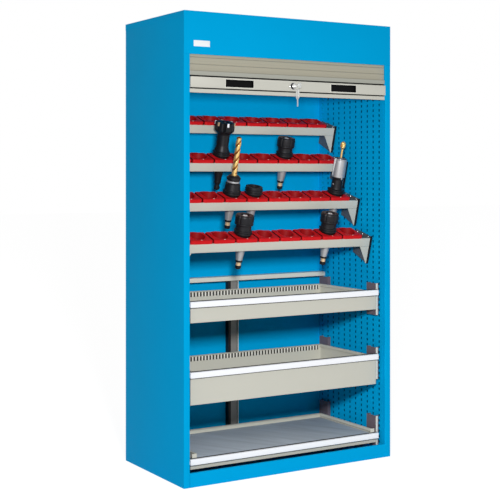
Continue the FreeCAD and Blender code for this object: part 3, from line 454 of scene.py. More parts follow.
def lofted(rows, marks=0, ring=False):
    """Surface through rows of points (rows x around x 3). With ring=False the first and last rows
    shrink to one point each, so that the bands there are triangles and the ends are closed."""
    rows = np.asarray(rows, float)
    count, around = rows.shape[:2]
    a = np.arange(count * around).reshape(count, around)
    b = np.roll(a, -1, 0)
    points = rows.reshape(-1, 3)
    if not ring:
        points = np.vstack([rows[0, :1], rows[1:-1].reshape(-1, 3), rows[-1, :1]])
        a = np.clip(a - around + 1, 0, len(points) - 1)
        a, b = a[:-1], a[1:]
    bands = np.stack([a, np.roll(a, -1, 1), np.roll(b, -1, 1), b], 2)
    groups = list(zip(bands, np.broadcast_to(marks, len(bands))))
    if not ring:
        groups[0] = groups[0][0][:, [0, 2, 3]], groups[0][1]
        groups[-1] = groups[-1][0][:, [2, 0, 1]], groups[-1][1]
    return outward(points, groups)


def turned(outline, around=64, wave=None, marks=0):
    """Surface of revolution about Z: (r, h) at angle a is (r cos a, r sin a, h). The outline starts
    and ends on the axis; `wave` may change r by (r, h, a)."""
    r, h = np.asarray(outline, float).T
    a = angles(around)[None]
    r = np.repeat(r[:, None], around, 1)
    h = np.repeat(h[:, None], around, 1)
    if wave:
        r = wave(r, h, a)
    return lofted(np.stack([r * np.cos(a), r * np.sin(a), h], -1), marks)


def rounded_box(low, high, radius, steps=2):
    """Box with round edges: point p of a cube's grid is drawn to q + r (p - q) / |p - q|, where q is
    the nearest point of the box shrunk by r. Points that meet at the cube's edges become one."""
    low, high = np.array(low, float), np.array(high, float)
    t = np.linspace(0, 1, steps + 1)
    ticks = [np.r_[low[i] + radius * t, high[i] - radius * t[::-1]] for i in range(3)]
    points, faces = [], []
    count = 2 * steps + 2
    grid = np.arange(count * count).reshape(count, count)
    face = quads(grid).reshape(-1, 4)
    for axis in range(3):
        u, v = [i for i in range(3) if i != axis]
        a, b = np.meshgrid(ticks[u], ticks[v], indexing="ij")
        for end, side in ((low, False), (high, True)):
            p = np.empty((count, count, 3))
            p[..., axis], p[..., u], p[..., v] = end[axis], a, b
            turn = side == (axis != 1)
            faces.append((face if turn else face[:, ::-1]) + len(points) * count * count)
            points.append(p.reshape(-1, 3))
    p = np.vstack(points)
    q = np.clip(p, low + radius, high - radius)
    away = p - q
    p = q + radius * away / np.linalg.norm(away, axis=1, keepdims=True)
    _, first, same = np.unique(np.round(p, 4), axis=0, return_index=True, return_inverse=True)
    return outward(p[first], [(same.ravel()[np.vstack(faces)], 0)])


# %% [markdown]
# ## Floor
# A plain pale floor carries the shadow. To the camera and in reflections it is mixed with plain
# white, so that it runs into the background without an edge.

# %% Floor
floor_half = 30.0
floor_mesh = bpy.data.meshes.new("floor")
floor_mesh.from_pydata([(x * floor_half, y * floor_half, 0)
                        for x, y in ((-1, -1), (1, -1), (1, 1), (-1, 1))], [], [(0, 1, 2, 3)])
floor = bpy.data.objects.new("floor", floor_mesh)
floor.location.z = -0.5 * mm  # just below the cabinet
scene.collection.objects.link(floor)
floor_material = bpy.data.materials.new("pale_floor")
floor_material.use_nodes = True
tree = floor_material.node_tree
tree.nodes.clear()
matt = shader_node(tree, "BsdfDiffuse", Color=(0.86, 0.86, 0.86, 1))
glow = shader_node(tree, "Emission", Strength=1.22)
share = shader_node(tree, "Math")
share.operation = "MULTIPLY"
share.inputs[1].default_value = 0.75
mix = shader_node(tree, "MixShader")
floor_out = shader_node(tree, "OutputMaterial")
link(tree, (seen_by(tree, "Is Camera Ray", "Is Glossy Ray"), share.inputs[0]),
     (share.outputs[0], mix.inputs["Fac"]), (matt.outputs[0], mix.inputs[1]),
     (glow.outputs[0], mix.inputs[2]), (mix.outputs[0], floor_out.inputs["Surface"]))
floor_mesh.materials.append(floor_material)
print("floor", 2 * floor_half, "m square")

# %% [markdown]
# ## Carcass
# The sides, jambs, top and front rail are 1.5 mm sheet folded on a brake. What tells the eye that it
# is sheet is the small radius at each fold, so each one is a folded outline carried along its length.

# %% Carcass sizes
side_low, side_high = span("right_side_panel")
fascia_low, fascia_high = span("fascia")
wall_low, wall_high = span("right_perforated_wall")
back_y = span("back_panel")[0][1]
jamb_x, front_y = side_low[:2]
half_width, rear_y, cap_z = side_high
opening_top, cabinet_top = fascia_low[2], fascia_high[2]
rail_top, strip_setback = 58.0, 40.0
front_return, rear_return, fascia_wrap, tray_flange = 12.5, 24.0, 7.0, 26.5
print("opening top", opening_top, "front", front_y)

# %% Sides with their jambs
# The side's inner face, seen through the punched wall's holes, is painted a darker blue as the shade in the unlit
# space between the walls.
finish("cavity_shade_blue", (0, 88, 130), 0.5, mottle=0.03, patch=180, specular=0.01)
rear_corner = [(half_width, rear_y), (half_width - rear_return, rear_y)]
side = together(
    bent([(jamb_x, front_y + front_return), (jamb_x, front_y), (half_width, front_y), *rear_corner],
         0, opening_top, 2),
    bent([(half_width, front_y + fascia_wrap), *rear_corner], opening_top, cap_z, 2))
side = marked(side, lambda x, y, z: np.abs(x - (half_width - sheet)) < 0.2, 1)
for name, shape in (("right_side", side), ("left_side", mirrored(side))):
    piece(name, shape, "carcass", "blue_paint", [name + "_panel"], ["blue_paint", "cavity_shade_blue"])

# %% [markdown]
# The fascia above the opening is one broad panel with its lower edge folded back. All four of its
# front edges show, so it is made as one rounded box as deep as the fold.

# %% Fascia, top cover and base
fold_depth = 9.5
fascia = rounded_box((-half_width, front_y, opening_top),
                     (half_width, front_y + fold_depth, cabinet_top), 2.0, 3)
piece("front_fascia", fascia, "carcass", "blue_paint", ["fascia"])

top_path = [(half_width, cap_z), (half_width, cabinet_top), (-half_width, cabinet_top),
            (-half_width, cap_z)]
top = together(bent(top_path, front_y + fold_depth, rear_y, 1),
               block(-half_width + 2, half_width - 2, rear_y - sheet, rear_y, cap_z, cabinet_top - 2))
piece("top", top, "carcass", "blue_paint", ["top_cover"])

front_rail = bent([(front_y + front_return, rail_top), (front_y, rail_top), (front_y, 0)],
                  -jamb_x, jamb_x, 0)
floor_tray = bent([(front_y + sheet, 0), (back_y, 0), (back_y, tray_flange)],
                  -wall_low[0], wall_low[0], 0)
edge_strip = block(wall_low[0], half_width - sheet, front_y + strip_setback, back_y, 0, sheet, 0.3)
piece("base", together(front_rail, floor_tray, both_sides(edge_strip)), "carcass", "blue_paint",
      ["base_pan"])

# %% [markdown]
# The inner walls are punched sheets. A grid with a line at each edge of every hole makes one: the
# cells with an odd number both ways are the holes, and the walls of a hole join the two faces.

# %% Punched inner walls


def slab(front, back, full):
    """Closed sheet between two grids of points. Cells where `full` is false are holes, and a wall
    joins the two faces wherever a full cell has none beside it."""
    grid = np.arange(full.size + sum(full.shape) + 1).reshape(np.add(full.shape, 1))
    cells = quads(grid)
    padded = np.pad(full, 1)
    edges = []
    for side_number, (di, dj) in enumerate([(0, -1), (1, 0), (0, 1), (-1, 0)]):
        beside = padded[1 + di:padded.shape[0] - 1 + di, 1 + dj:padded.shape[1] - 1 + dj]
        open_side = cells[full & ~beside]
        a, b = open_side[:, side_number], open_side[:, (side_number + 1) % 4]
        edges.append(np.stack([b, a, a + grid.size, b + grid.size], 1))
    points = np.vstack([front.reshape(-1, 3), back.reshape(-1, 3)])
    near = cells[full]
    return outward(points, [(near, 0), (near[:, ::-1] + grid.size, 0), (np.vstack(edges), 0)])


def punched_sheet(across, up, x, thickness):
    """Sheet over the grid lines `across` (y) and `up` (z), from x to x + thickness. Cell (i, j) is a
    hole where i and j are both odd."""
    y, z = np.meshgrid(across, up, indexing="ij")
    i, j = np.indices(np.subtract(y.shape, 1))
    faces = [np.stack([np.full_like(y, plane), y, z], -1) for plane in (x, x + thickness)]
    return slab(*faces, (i % 2 == 0) | (j % 2 == 0))


def hole_lines(low, high, count, pitch, size):
    """Both edges of each hole, with the holes' middles `pitch` apart about the sheet's middle."""
    middles = (low + high) / 2 + (np.arange(count) - (count - 1) / 2) * pitch
    return np.r_[low, np.stack([middles - size / 2, middles + size / 2], 1).ravel(), high]


hole_width, hole_height, column_pitch, row_pitch, hole_margin = 10.0, 12.0, 45.0, 24.0, 18.0
columns = int((wall_high[1] - wall_low[1] - 2 * hole_margin) // column_pitch) + 1
rows = int((wall_high[2] - wall_low[2] - 2 * hole_margin) // row_pitch)
outer_x = wall_low[0] + sheet
end_flanges = [carried(rectangle(outer_x, wall_high[0], y, y + sheet), wall_low[2], wall_high[2], 2)
               for y in (wall_low[1], wall_high[1] - sheet)]
inner_wall = together(
    punched_sheet(hole_lines(wall_low[1], wall_high[1], columns, column_pitch, hole_width),
                  hole_lines(wall_low[2], wall_high[2], rows, row_pitch, hole_height),
                  wall_low[0], sheet), *end_flanges)
for name, shape in (("right", inner_wall), ("left", mirrored(inner_wall))):
    piece(name + "_punched_wall", shape, "carcass", "blue_paint", [name + "_perforated_wall"])
print("holes", columns, "x", rows)

# %% [markdown]
# A small plate is fixed to the upper left of the fascia. It stays bare.

# %% Fascia plate
finish("pale_plate", (236, 240, 244), 0.35, mottle=0.03, patch=20, grain=0.6,
       relief=0.01)
fascia_plate = rounded_box((-485, front_y - 0.8, 1805), (-409, front_y + 0.5, 1830), 0.6, 2)
piece("fascia_plate", fascia_plate, "carcass", "blue_paint", looks=["pale_plate"])

# %% [markdown]
# ## Rear post and cross bar
# The post is a C channel whose open slot is off centre, and the bar across it is an angle. The post's
# left part and sides are painted black as shade, and the edge right of its slot pale as a highlight.

# %% Post and cross bar
post_low, post_high = span("rear_post")
bar_low, bar_high = span("rear_cross_bar")
shade_x = post_low[0] + 13
slot_x, half_slot = 20, 2
post_path = [(slot_x + half_slot, post_low[1]), (post_high[0], post_low[1]), (post_high[0], post_high[1]),
             (post_low[0], post_high[1]), (post_low[0], post_low[1]), (shade_x, post_low[1]),
             (slot_x - half_slot, post_low[1])]
finish("dull_zinc", (138, 136, 132), 0.5, 0.2, mottle=0.12, stretch=along_z, **zinc)
# Pale grey: the cross bar's paint, and a painted highlight on the post and on the runner brackets' front edges.
finish("pale_grey_and_highlight", (216, 216, 206), 0.46, mottle=0.025, patch=160)


def post_marks(x, y, z):
    """On the front: 2 left of shade_x, painted black as the shadow in a groove there; 1 on the edge right of
    the slot, painted pale as its highlight; 0 between. Everything behind the front is 2, painted black as shade."""
    front = np.where(x > slot_x, 1, np.where(x < shade_x, 2, 0))
    return np.where(y < post_low[1] + 0.5, front, 2)


post = bent(post_path, post_low[2], post_high[2], 2)
for number in (1, 2):
    post = marked(post, lambda *middle: post_marks(*middle) == number, number)
cross_path = [(bar_high[1], bar_high[2]), (bar_low[1], bar_high[2]), (bar_low[1], bar_low[2])]
piece("cross_bar", bent(cross_path, bar_low[0], bar_high[0], 0), "carcass", "grey_paint",
      ["rear_cross_bar"], ["pale_grey_and_highlight"])
piece("post", post, "carcass", "galvanised", ["rear_post"], ["dull_zinc", "pale_grey_and_highlight", "black_steel"])

# %% [markdown]
# ## Rolling curtain
# The slats hang in one sheet from the drum. When the curtain is down they fill the whole opening, and
# when it is up all but the lowest are on the drum. The slats are one mesh, laid out evenly for the
# closed curtain at height f, and the rest height z of each point is solved from f = z - w(z) T, where
# w(z) rises from 0 to 1 across the blend and T is the travel.

# %% Curtain
slat_low, slat_high = span("hanging_slats")
end_bar_low, end_bar_high = span("end_bar")
slat_pitch = 28.8
slat_front, slat_rear = slat_low[1], slat_high[1]
travel = 1000 * next(j["range_m"][1] for j in frame["joints"] if j["name"] == "curtain_slide")
bar_top = end_bar_high[2]
blend_from, blend_to = slat_high[2], opening_top + 5.0


def rest_height(closed_height):
    """Rest height z of a point at `closed_height` when the curtain is down: the inverse, by
    interpolation, of z - w(z) T, with w = t^2 (3 - 2t) between the two ends of the blend."""
    z = np.linspace(bar_top, blend_from, 20001)
    t = np.clip((blend_from - z) / (blend_from - blend_to), 0, 1)
    return np.interp(closed_height, z - t * t * (3 - 2 * t) * travel, z)


def slat_section(low):
    """Section of one slat: its face at height share s lies back by narrow grooves,
    1.8 exp(-(s / 0.06)^2) at each joint and 0.9 exp(-((s - 0.5) / 0.05)^2) at mid height."""
    s = np.linspace(0.012, 0.988, 27)
    groove = (1.8 * np.exp(-(s / 0.06) ** 2) + 1.8 * np.exp(-((1 - s) / 0.06) ** 2)
              + 0.9 * np.exp(-((s - 0.5) / 0.05) ** 2))
    face = np.stack([slat_front + groove, low + s * slat_pitch], 1)
    back = np.stack([np.full(2, slat_rear), low + s[[-1, 0]] * slat_pitch], 1)
    return np.vstack([face, back])


closed_low = bar_top - travel
slat_count = math.ceil((opening_top + 6 - closed_low) / slat_pitch)
slats = together(*[carried(slat_section(closed_low + i * slat_pitch), slat_low[0], slat_high[0], 0)
                   for i in range(slat_count)])
slats[0][:, 2] = rest_height(slats[0][:, 2])
curtain = piece("curtain_slats", slats, None, "slat_plastic", ["hanging_slats"], smooth=50)
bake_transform(curtain)
print("slats", slat_count)

# %% [markdown]
# ## End bar
# The bar at the curtain's foot has a lip above and below a broad plate, with a groove between. Its
# plate has two openings for the grips, so a copy of the CAD bar is merged and its edges eased with a
# Bevel modifier. The upper lip, which curves away from the light, is painted a darker grey as shade,
# and the grooves are painted black as shadow.

# %% Merged copy with eased edges
weld_distance = 0.002


def eased_copy(node, name, body, slot, width, looks=None, rule=None):
    """Copy a CAD mesh, merge its loose triangles, join the flat ones, and bevel its edges. Faces
    take the material number that rule(x, y, z) gives for their middles (in mm)."""
    mesh = nodes[node].data.copy()
    mesh.name = name
    mesh.materials.clear()
    work = bmesh.new()
    work.from_mesh(mesh)
    bmesh.ops.remove_doubles(work, verts=work.verts, dist=weld_distance * mm)
    bmesh.ops.dissolve_limit(work, angle_limit=math.radians(1), verts=work.verts, edges=work.edges)
    work.to_mesh(mesh)
    work.free()
    if rule:
        middle = np.empty(3 * len(mesh.polygons))
        mesh.polygons.foreach_get("center", middle)
        marks = rule(*(middle.reshape(-1, 3) / mm).T).astype(int)
        mesh.polygons.foreach_set("material_index", marks)
    thing = seated(name, mesh, body, slot, [node], looks, 35)
    bevel = thing.modifiers.new("eased_edges", "BEVEL")
    bevel.width = width * mm
    bevel.segments = 2
    bevel.limit_method = "ANGLE"
    bevel.angle_limit = math.radians(40)
    bevel.harden_normals = True
    return thing


# %% Bar
plate_front = end_bar_low[1]
lip_z = end_bar_low[2] + 68
# A darker copy of the bar's aluminium: painted shade on the upper lip.
finish("lip_painted_shade", (165, 166, 156), 0.42, 0.15, mottle=0.03, **drawn)


def bar_marks(x, y, z):
    """1 on the upper lip, painted darker as shade where it curves away from the light, 2 in the grooves
    above and below the plate, whose ground is level with the slats, painted black as shadow, and 0 elsewhere."""
    return ((z > lip_z) & (y < slat_front - 1)) + 2 * (np.abs(y - slat_front) < 0.3)


eased_copy("end_bar", "bar_plate", "curtain", "bar_aluminium", 0.5,
           ["bar_aluminium", "lip_painted_shade", "black_plastic"], bar_marks)

# %% [markdown]
# Each grip is a black moulded cup with a thin pale frame round it. It is a stack of rounded
# rectangles from the middle of the cup's floor up the inside, over the frame and down the outside.

# %% Grips
finish("pale_frame", (232, 231, 222), 0.35, mottle=0.02, patch=20)
grip_low, grip_high = span("grip_cups")
lock_z = (grip_low[2] + grip_high[2]) / 2
grip_x = 267


def oblong(half_w, half_h, radius, y, x):
    """Rounded rectangle in the XZ plane at depth y, the same number of points for every size."""
    outline = rounded(rectangle(-half_w, half_w, -half_h, half_h), radius, steps=5)
    return np.insert(outline + (x, lock_z), 1, y, axis=1)


# Half width, half height, corner and depth behind the plate's front, from inside to outside.
cup_rows = [(0.01, 0.01, 0.005, 8.8), (60, 8, 2, 8.8), (63.5, 11.5, 2, 8), (65, 12.8, 2, 5),
            (65.4, 13.2, 2, -0.4), (65.8, 13.4, 2, -0.8), (66, 13.6, 2, -1), (68, 15.6, 2.2, -1),
            (69.4, 16.8, 2.5, -1), (69.8, 17.2, 2.5, -0.5), (69.8, 17.2, 2.5, 0), (66.5, 14, 2, 0),
            (66.5, 14, 2, 11), (0.01, 0.01, 0.005, 11)]
frame_marks = [0] * 7 + [1] * 4 + [0] * 2
grips = [lofted([oblong(w, h, r, plate_front + y, x) for w, h, r, y in cup_rows], frame_marks)
         for x in (-grip_x, grip_x)]
piece("grips", together(*grips), "curtain", "black_plastic", ["grip_cups"],
      ["black_plastic", "pale_frame"])

# %% [markdown]
# ## Lock and keys
# A cam lock is a stack of turned parts: a flat rosette, a raised collar, and the plug.
# They are turned about Z and then laid down to face the front.

# %% Lock housing and plug


def facing_front(shape):
    """Turn a shape made about Z so that its top faces -Y, with its foot on the bar's plate."""
    return changed(shape, lambda x, y, z: (x, plate_front - z, lock_z + y))


rosette = turned(rounded([(0, 0), (16, 0), (16, 2.2), (14.6, 3), (12, 3), (12, 13.6), (10.6, 15),
                          (8.2, 15), (8.2, 13.2), (0, 13.2)], 0.6, closed=False), 72)
rosette = marked(rosette, lambda x, y, z: (np.abs(np.hypot(x, y) - 12.8) < 1.4) & (z < 13.4), 1)
piece("lock_rosette", facing_front(rosette), "curtain", "nickel", ["lock_housing"],
      ["nickel", "black_steel"])
plug_face = turned(rounded([(0, 0), (7.8, 0), (7.8, 14.2), (7.2, 14.9), (0, 14.9)], 0.4,
                           closed=False), 48)
piece("lock_core", facing_front(plug_face), "lock_rotor", "nickel", ["lock_plug"])

# %% [markdown]
# A key's bow is a flat plate with a hole, so it is six rings joined in a loop: the outer edge, its
# eased rim and the hole's edge, in front and behind. The blade is a cut outline with its teeth.

# %% Keys


def ring_plate(outer, inner, thickness, ease=0.25):
    """Plate between two loops of equal count in the YZ plane, its outer edge eased."""
    half = thickness / 2
    centre = outer.mean(0)
    out = outer - centre
    shrunk = centre + out * (1 - ease / np.linalg.norm(out, axis=1, keepdims=True))
    rows = [(outer, half - ease), (shrunk, half), (inner, half), (inner, -half), (shrunk, -half),
            (outer, -half + ease)]
    return lofted([np.insert(loop, 0, x, axis=1) for loop, x in rows], ring=True)


def bow_loops(length, radius, hole_from_end, hole_radius, count=64):
    """Outline of a round-ended bow from z = 0 to -length, and its hole: the point of the outline at
    angle a is the circle's, moved to the nearer end of the straight middle."""
    a = angles(count)
    ring = np.stack([np.cos(a), np.sin(a)], 1)
    middle = np.where(np.sin(a) >= 0, -radius, -length + radius)
    outer = ring * radius + np.stack([np.zeros(count), middle], 1)
    inner = ring * hole_radius + (0, -length + hole_from_end)
    return outer, inner


key_tip = span("lock_key")[1][1]
stem_length, bow_radius, key_hole, bow_thickness = 24, 12.0, 3.0, 1.7
finish("pale_key", (226, 227, 225), 0.3, 0.2, mottle=0.03, patch=8)
bow = ring_plate(*bow_loops(25.0, bow_radius, 6.5, key_hole), bow_thickness)
stem = carried(rounded(rectangle(-4, 4, -9, stem_length), 0.6), -0.9, 0.9, 0)
lock_key = changed(together(bow, stem),
                   lambda x, y, z: (x, key_tip - stem_length + z, lock_z - y))
piece("key_in_lock", lock_key, "lock_rotor", "nickel", ["lock_key"], ["pale_key"])

spare_low, spare_high = span("spare_key")
ring_y = (spare_low[1] + spare_high[1]) / 2
teeth = [(4, -46), (4, -50), (2.6, -53), (3.8, -56), (2.2, -59), (3.2, -62), (1.9, -65), (3.4, -68),
         (2.2, -71), (3.0, -73.5)]
blade_outline = [(-4, -36), (4, -36), *teeth, (1.2, -76), (-1.2, -76), (-4, -73.3)]
spare_bow = ring_plate(*bow_loops(46.0, bow_radius, 39.5, key_hole), bow_thickness)
blade = carried(rounded(blade_outline, 0.3), -0.8, 0.8, 0)
piece("key_on_ring", moved(together(spare_bow, blade), y=ring_y, z=spare_high[2]), "key_bunch",
      "nickel", ["spare_key"], ["pale_key"])

wire_radius = 0.7
loop_low, loop_high = span("key_ring")
loop_radius = (loop_high[2] - loop_low[2]) / 2 - wire_radius
loop_z = (loop_low[2] + loop_high[2]) / 2
a, b = angles(72), angles(12)[:, None]
reach = loop_radius + wire_radius * np.cos(b)
wire = np.stack([reach * np.cos(a), ring_y + wire_radius * np.sin(b) + 0 * a,
                 loop_z + reach * np.sin(a)], -1)
piece("wire_ring", lofted(wire, ring=True), "key_bunch", "nickel", ["key_ring"])

# %% [markdown]
# ## Tool shelves
# All four shelves are alike and tipped 15 degrees to the front. Each is made level, with v towards
# the rear and h up from the top front edge of its rail, and then tipped and set in its place.

# %% Shelf places
shelf_tilt = math.radians(15)
shelf_depth, shelf_drop = 104, 38
shelf_origins = []
for number in range(1, 5):
    low, high = span(f"shelf_frame_{number}")
    shelf_origins.append((low[1], high[2] - shelf_depth * math.sin(shelf_tilt)))


def on_shelf(shape, shelf):
    """Tip a level shape by 15 degrees about X and move it to the shelf's top front edge."""
    y0, z0 = shelf_origins[shelf]
    c, s = math.cos(shelf_tilt), math.sin(shelf_tilt)
    return changed(shape, lambda x, v, h: (x, y0 + v * c - h * s, z0 + v * s + h * c))


print("shelf origins", [tuple(np.round(o, 1)) for o in shelf_origins])

# %% Rails and brackets
rail_x, rail_bend = 488.0, 2.6
holder_pitch = 112.0
plate_at = 4 * holder_pitch + 5
cross_plate = block(plate_at, plate_at + sheet, sheet, shelf_depth - sheet, -36.5, -1.5, 0.3)
rails = together(
    bent([(9, 0), (0, 0), (0, -shelf_drop), (15, -shelf_drop)], -rail_x, rail_x, 0, rail_bend),
    bent([(shelf_depth, -shelf_drop), (shelf_depth, 0), (96, 0)], -rail_x, rail_x, 0, rail_bend),
    both_sides(cross_plate))
for shelf in range(4):
    piece(f"shelf_rails_{shelf + 1}", on_shelf(rails, shelf), "carcass", "grey_paint",
          [f"shelf_frame_{shelf + 1}"])

# %% [markdown]
# The end brackets are pressed plates with a round emboss and a ridge along the sloping foot. The face
# is a grid over the plate's outline, raised by a formula, and a flat back closes it. A gusset
# stands in front, painted like the rail, with a dark flange beside it that reaches to the wall, and
# small studs hold the plate to the frame.

# %% End brackets
plate_length, plate_rise, plate_drop, foot_rise = 112.0, 10.0, 120.0, 20.0


def pressed_plate():
    """Grid over (v, h); the face lies at x - 2.8 exp(-((r - 15) / 2.6)^2) - 1.5 exp(-((d - 8) / 3)^2),
    r being the distance from the emboss's middle and d the height above the sloping foot. A dome
    1.6 exp(-(r / 5)^2) and a ridge 1.2 exp(-((h + 38) / 3)^2) come on top."""
    across, up = np.meshgrid(np.linspace(0, 1, 57), np.linspace(0, 1, 65), indexing="ij")
    v = across * plate_length
    foot = -plate_drop + across * foot_rise
    h = foot + up * (plate_rise - foot)
    r = np.hypot(v - 34, h + 66)
    inside = np.clip(np.minimum(v, plate_length - v) / 4, 0, 1) * np.clip((plate_rise - h) / 4, 0, 1)
    rise = 2.8 * np.exp(-((r - 15) / 2.6) ** 2) + 1.6 * np.exp(-(r / 5) ** 2)
    rise += 1.5 * np.exp(-((h - foot - 8) / 3) ** 2) + 1.2 * np.exp(-((h + 38) / 3) ** 2)
    face = np.stack([rail_x - rise * inside, v, h], -1)
    back = np.stack([np.full_like(v, rail_x + 2), v, h], -1)
    return slab(face, back, np.ones(np.subtract(v.shape, 1), bool))


def stud(v, h, radius=3.2):
    """Domed head on the plate, facing the middle of the cabinet."""
    dome = turned([(0, -1), (radius, -1), (radius, 1.2), (0.7 * radius, 2.4), (0, 2.8)], 20)
    return changed(dome, lambda x, y, z: (rail_x - z, v + y, h + x))


flange_width, tab = 11.0, 14
finish("bracket_steel", (104, 105, 110), 0.4, 0.4, mottle=0.12, **zinc)
gusset_outline = [(rail_x - 50, -shelf_drop), (rail_x - 0.2, -shelf_drop), (rail_x - 0.2, -plate_drop),
                  (rail_x - 3, -plate_drop)]
gusset = carried(rounded(gusset_outline, 1.0), 0, 1.6, 1, mark=1)
wall_tabs = together(*[block(rail_x + 2, wall_low[0], v, v + tab, h, h + tab)
                       for v, h in ((84, -14), (14, -14), (14, -92))])
studs = painted(together(*[stud(v, h) for v, h in ((16, 3), (60, 3), (100, 3), (8, -46))]), 2)
flange_outline = rectangle(rail_x, rail_x + flange_width, plate_rise, -plate_drop)
front_flange = carried(rounded(flange_outline, 0.8), -sheet, -0.1, 1, mark=3)
bracket = both_sides(together(pressed_plate(), gusset, wall_tabs, studs, front_flange))
piece("end_brackets", together(*[on_shelf(bracket, shelf) for shelf in range(4)]), "carcass",
      "galvanised", ["shelf_brackets"], ["bracket_steel", "grey_paint", "bright_steel", "black_steel"])

# %% [markdown]
# ## Tool holders
# A holder is one moulding: a tile with a steep front and a slowly rising deck, a low round collar
# that stands out behind the bore, and a skirt below. All of it is rings about the bore, so one polar
# grid makes it. The outer ring follows the tile's outline: square, with a slightly arched rear edge.

# %% Holder surface
bore_v = 52.0
bore_radius, skirt_radius, skirt_depth = 34.0, 42.0, 34.0
collar_radius, collar_top, collar_rise = 44.0, 24.0, 42.0
half_tile, tile_front, tile_rear, rear_arch = 52.6, 51.0, 44.0, 50.0
# The bore's wall is painted a darker red as shade, and the tiles' sides black as the shadow in the gaps between
# them.
bore_shade_mark, side_shade_mark = 2, 3


def deck_height(v):
    """Height of the tile at depth v: the lower of 12 + 0.875 (v - 1) and 15.5 + 0.0835 (v - 5)."""
    return np.minimum(12 + 0.875 * (v - 1), 15.5 + 0.0835 * (v - 5))


def holder(around=160):
    """Rings about the bore. The outline is R(a) = (|cos a / 52.6|^14 + |sin a / d|^14)^(-1/14), with
    d the tile's reach in front or behind, and at least 50 behind."""
    a = angles(around)
    reach = np.where(np.sin(a) < 0, tile_front, tile_rear)
    outline = (np.abs(np.cos(a) / half_tile) ** 14 + np.abs(np.sin(a) / reach) ** 14) ** (-1 / 14)
    outline = np.where(np.sin(a) < 0, outline, np.maximum(outline, rear_arch))
    bore_front = bore_v - bore_radius
    slope = (collar_top - deck_height(bore_front)) / collar_rise

    def ring(r, height):
        """Points at distance r from the bore's axis, at height(depth)."""
        v = bore_v + r * np.sin(a)
        return np.stack([r * np.cos(a), v, height(v)], 1)

    def deck(r, drop=0.0):
        """Ring on the tile, or `drop` below it."""
        return ring(r, lambda v: deck_height(v) - drop)

    def collar(r, drop=0.0):
        """Ring on the collar, whose top rises from the deck at the bore's front edge."""
        back = bore_front + collar_rise
        return ring(r, lambda v: np.maximum(
            deck_height(v), np.minimum(collar_top, collar_top - slope * (back - v)) - drop))

    def level(r, h):
        """Ring at one height."""
        return ring(r, lambda v: np.full(around, h))

    rim = collar(bore_radius)
    inner = [level(bore_radius, -skirt_depth), rim - (0, 0, 2.5), collar(bore_radius + 0.8) - (0, 0, 0.8),
             collar(bore_radius + 2.5)]
    edge = [collar(collar_radius - 1.6), collar(collar_radius - 0.5, 0.5), collar(collar_radius, 1.8),
            deck(collar_radius + 0.2)]
    near_edge = outline - 4
    tile = [deck(collar_radius + 0.2 + s * (near_edge - collar_radius - 0.2)) for s in (0.3, 0.65, 1)]
    tile += [deck(outline - 1.3, 0.1), deck(outline - 0.4, 0.6), deck(outline, 1.8)]
    below = [level(outline, 0.0), level(skirt_radius, 0.0), level(skirt_radius, -skirt_depth)]
    rows = inner + edge + tile + below
    marks = np.zeros(len(rows), int)
    marks[:2] = bore_shade_mark
    return lofted(rows, marks, ring=True)


def holder_x(index):
    """Middle of holder number `index` from the left, 0 to 7."""
    return (index - 3.5) * holder_pitch


# %% Holders on the shelves
# Darker red, painted as the shade on the bores' walls.
finish("bore_painted_shade", (146, 16, 20), 0.5, mottle=0.07, patch=30, specular=0.1)
# The rivet heads are pale pink: their own head, with the colour also painting their highlight.
finish("rivet_and_highlight", (250, 214, 206), 0.3, patch=6)
rivet = turned([(0, -1), (2.6, -1), (2.6, 0.7), (1.8, 1.3), (0, 1.6)], 20, marks=1)
tile = marked(holder(), lambda x, y, z: np.abs(x) > half_tile - 0.3, side_shade_mark)
one_holder = together(tile, moved(rivet, y=8, z=15.6))
shelf_of_holders = together(*[moved(one_holder, x=holder_x(i)) for i in range(8)])
for shelf in range(4):
    piece(f"red_holders_{shelf + 1}", on_shelf(shelf_of_holders, shelf), "carcass", "red_plastic",
          [f"tool_holders_{shelf + 1}"], ["red_plastic", "rivet_and_highlight", "bore_painted_shade", "black_plastic"])

# %% [markdown]
# ## Tools
# Every tool has the same foot: a steep taper with its pull stud, and a gauge flange that rests on the
# collar. Above it each has its own turned outline. Notches, gullets and flutes are ripples of the
# radius, and the finish of each stretch is given by its height and radius.

# %% Tool foot and helper
silver, cream, pale = 1, 2, 3
finish("ground_steel", (176, 176, 178), 0.36, 0.5, mottle=0.06, patch=20)
finish("cream_brass", (232, 200, 158), 0.32, 0.35, mottle=0.08, patch=6)
# White, painted as the highlight on the collet's face in the nut's mouth.
finish("collet_mouth_highlight", (250, 250, 250), 0.25, 0.1, mottle=0.03, patch=6)
tool_looks = ["black_steel", "ground_steel", "cream_brass", "collet_mouth_highlight"]
foot = [(0, -159), (10, -159), (13, -156), (13, -143.4), (11, -142.8), (11, -127.4), (15.5, -127),
        (15.5, -118.4), (14.5, -118), (26.8, -30), (31, 0), (38, 0), (40, 2), (40, 6.6), (36.4, 8.6),
        (36.4, 11.4), (40, 13.4), (40, 16), (38, 18)]
any_radius, seat_height = 99.0, 24.3
foot_bands = [(-118.1, -29, any_radius, silver), (-143, -127.1, 12, cream)]


def machined(outline, ease=0.5, bands=(), around=72, wave=None):
    """Turned outline with eased corners. A band (from, to, radius, finish) marks the stretch between
    two heights as far out as `radius`."""
    line = rounded(outline, ease, closed=False, steps=3)
    radius, height = ((line[:-1] + line[1:]) / 2).T
    marks = np.zeros(len(height), int)
    for low, high, limit, mark in bands:
        marks[(height > low) & (height < high) & (radius < limit)] = mark
    return turned(line, around, wave, marks)


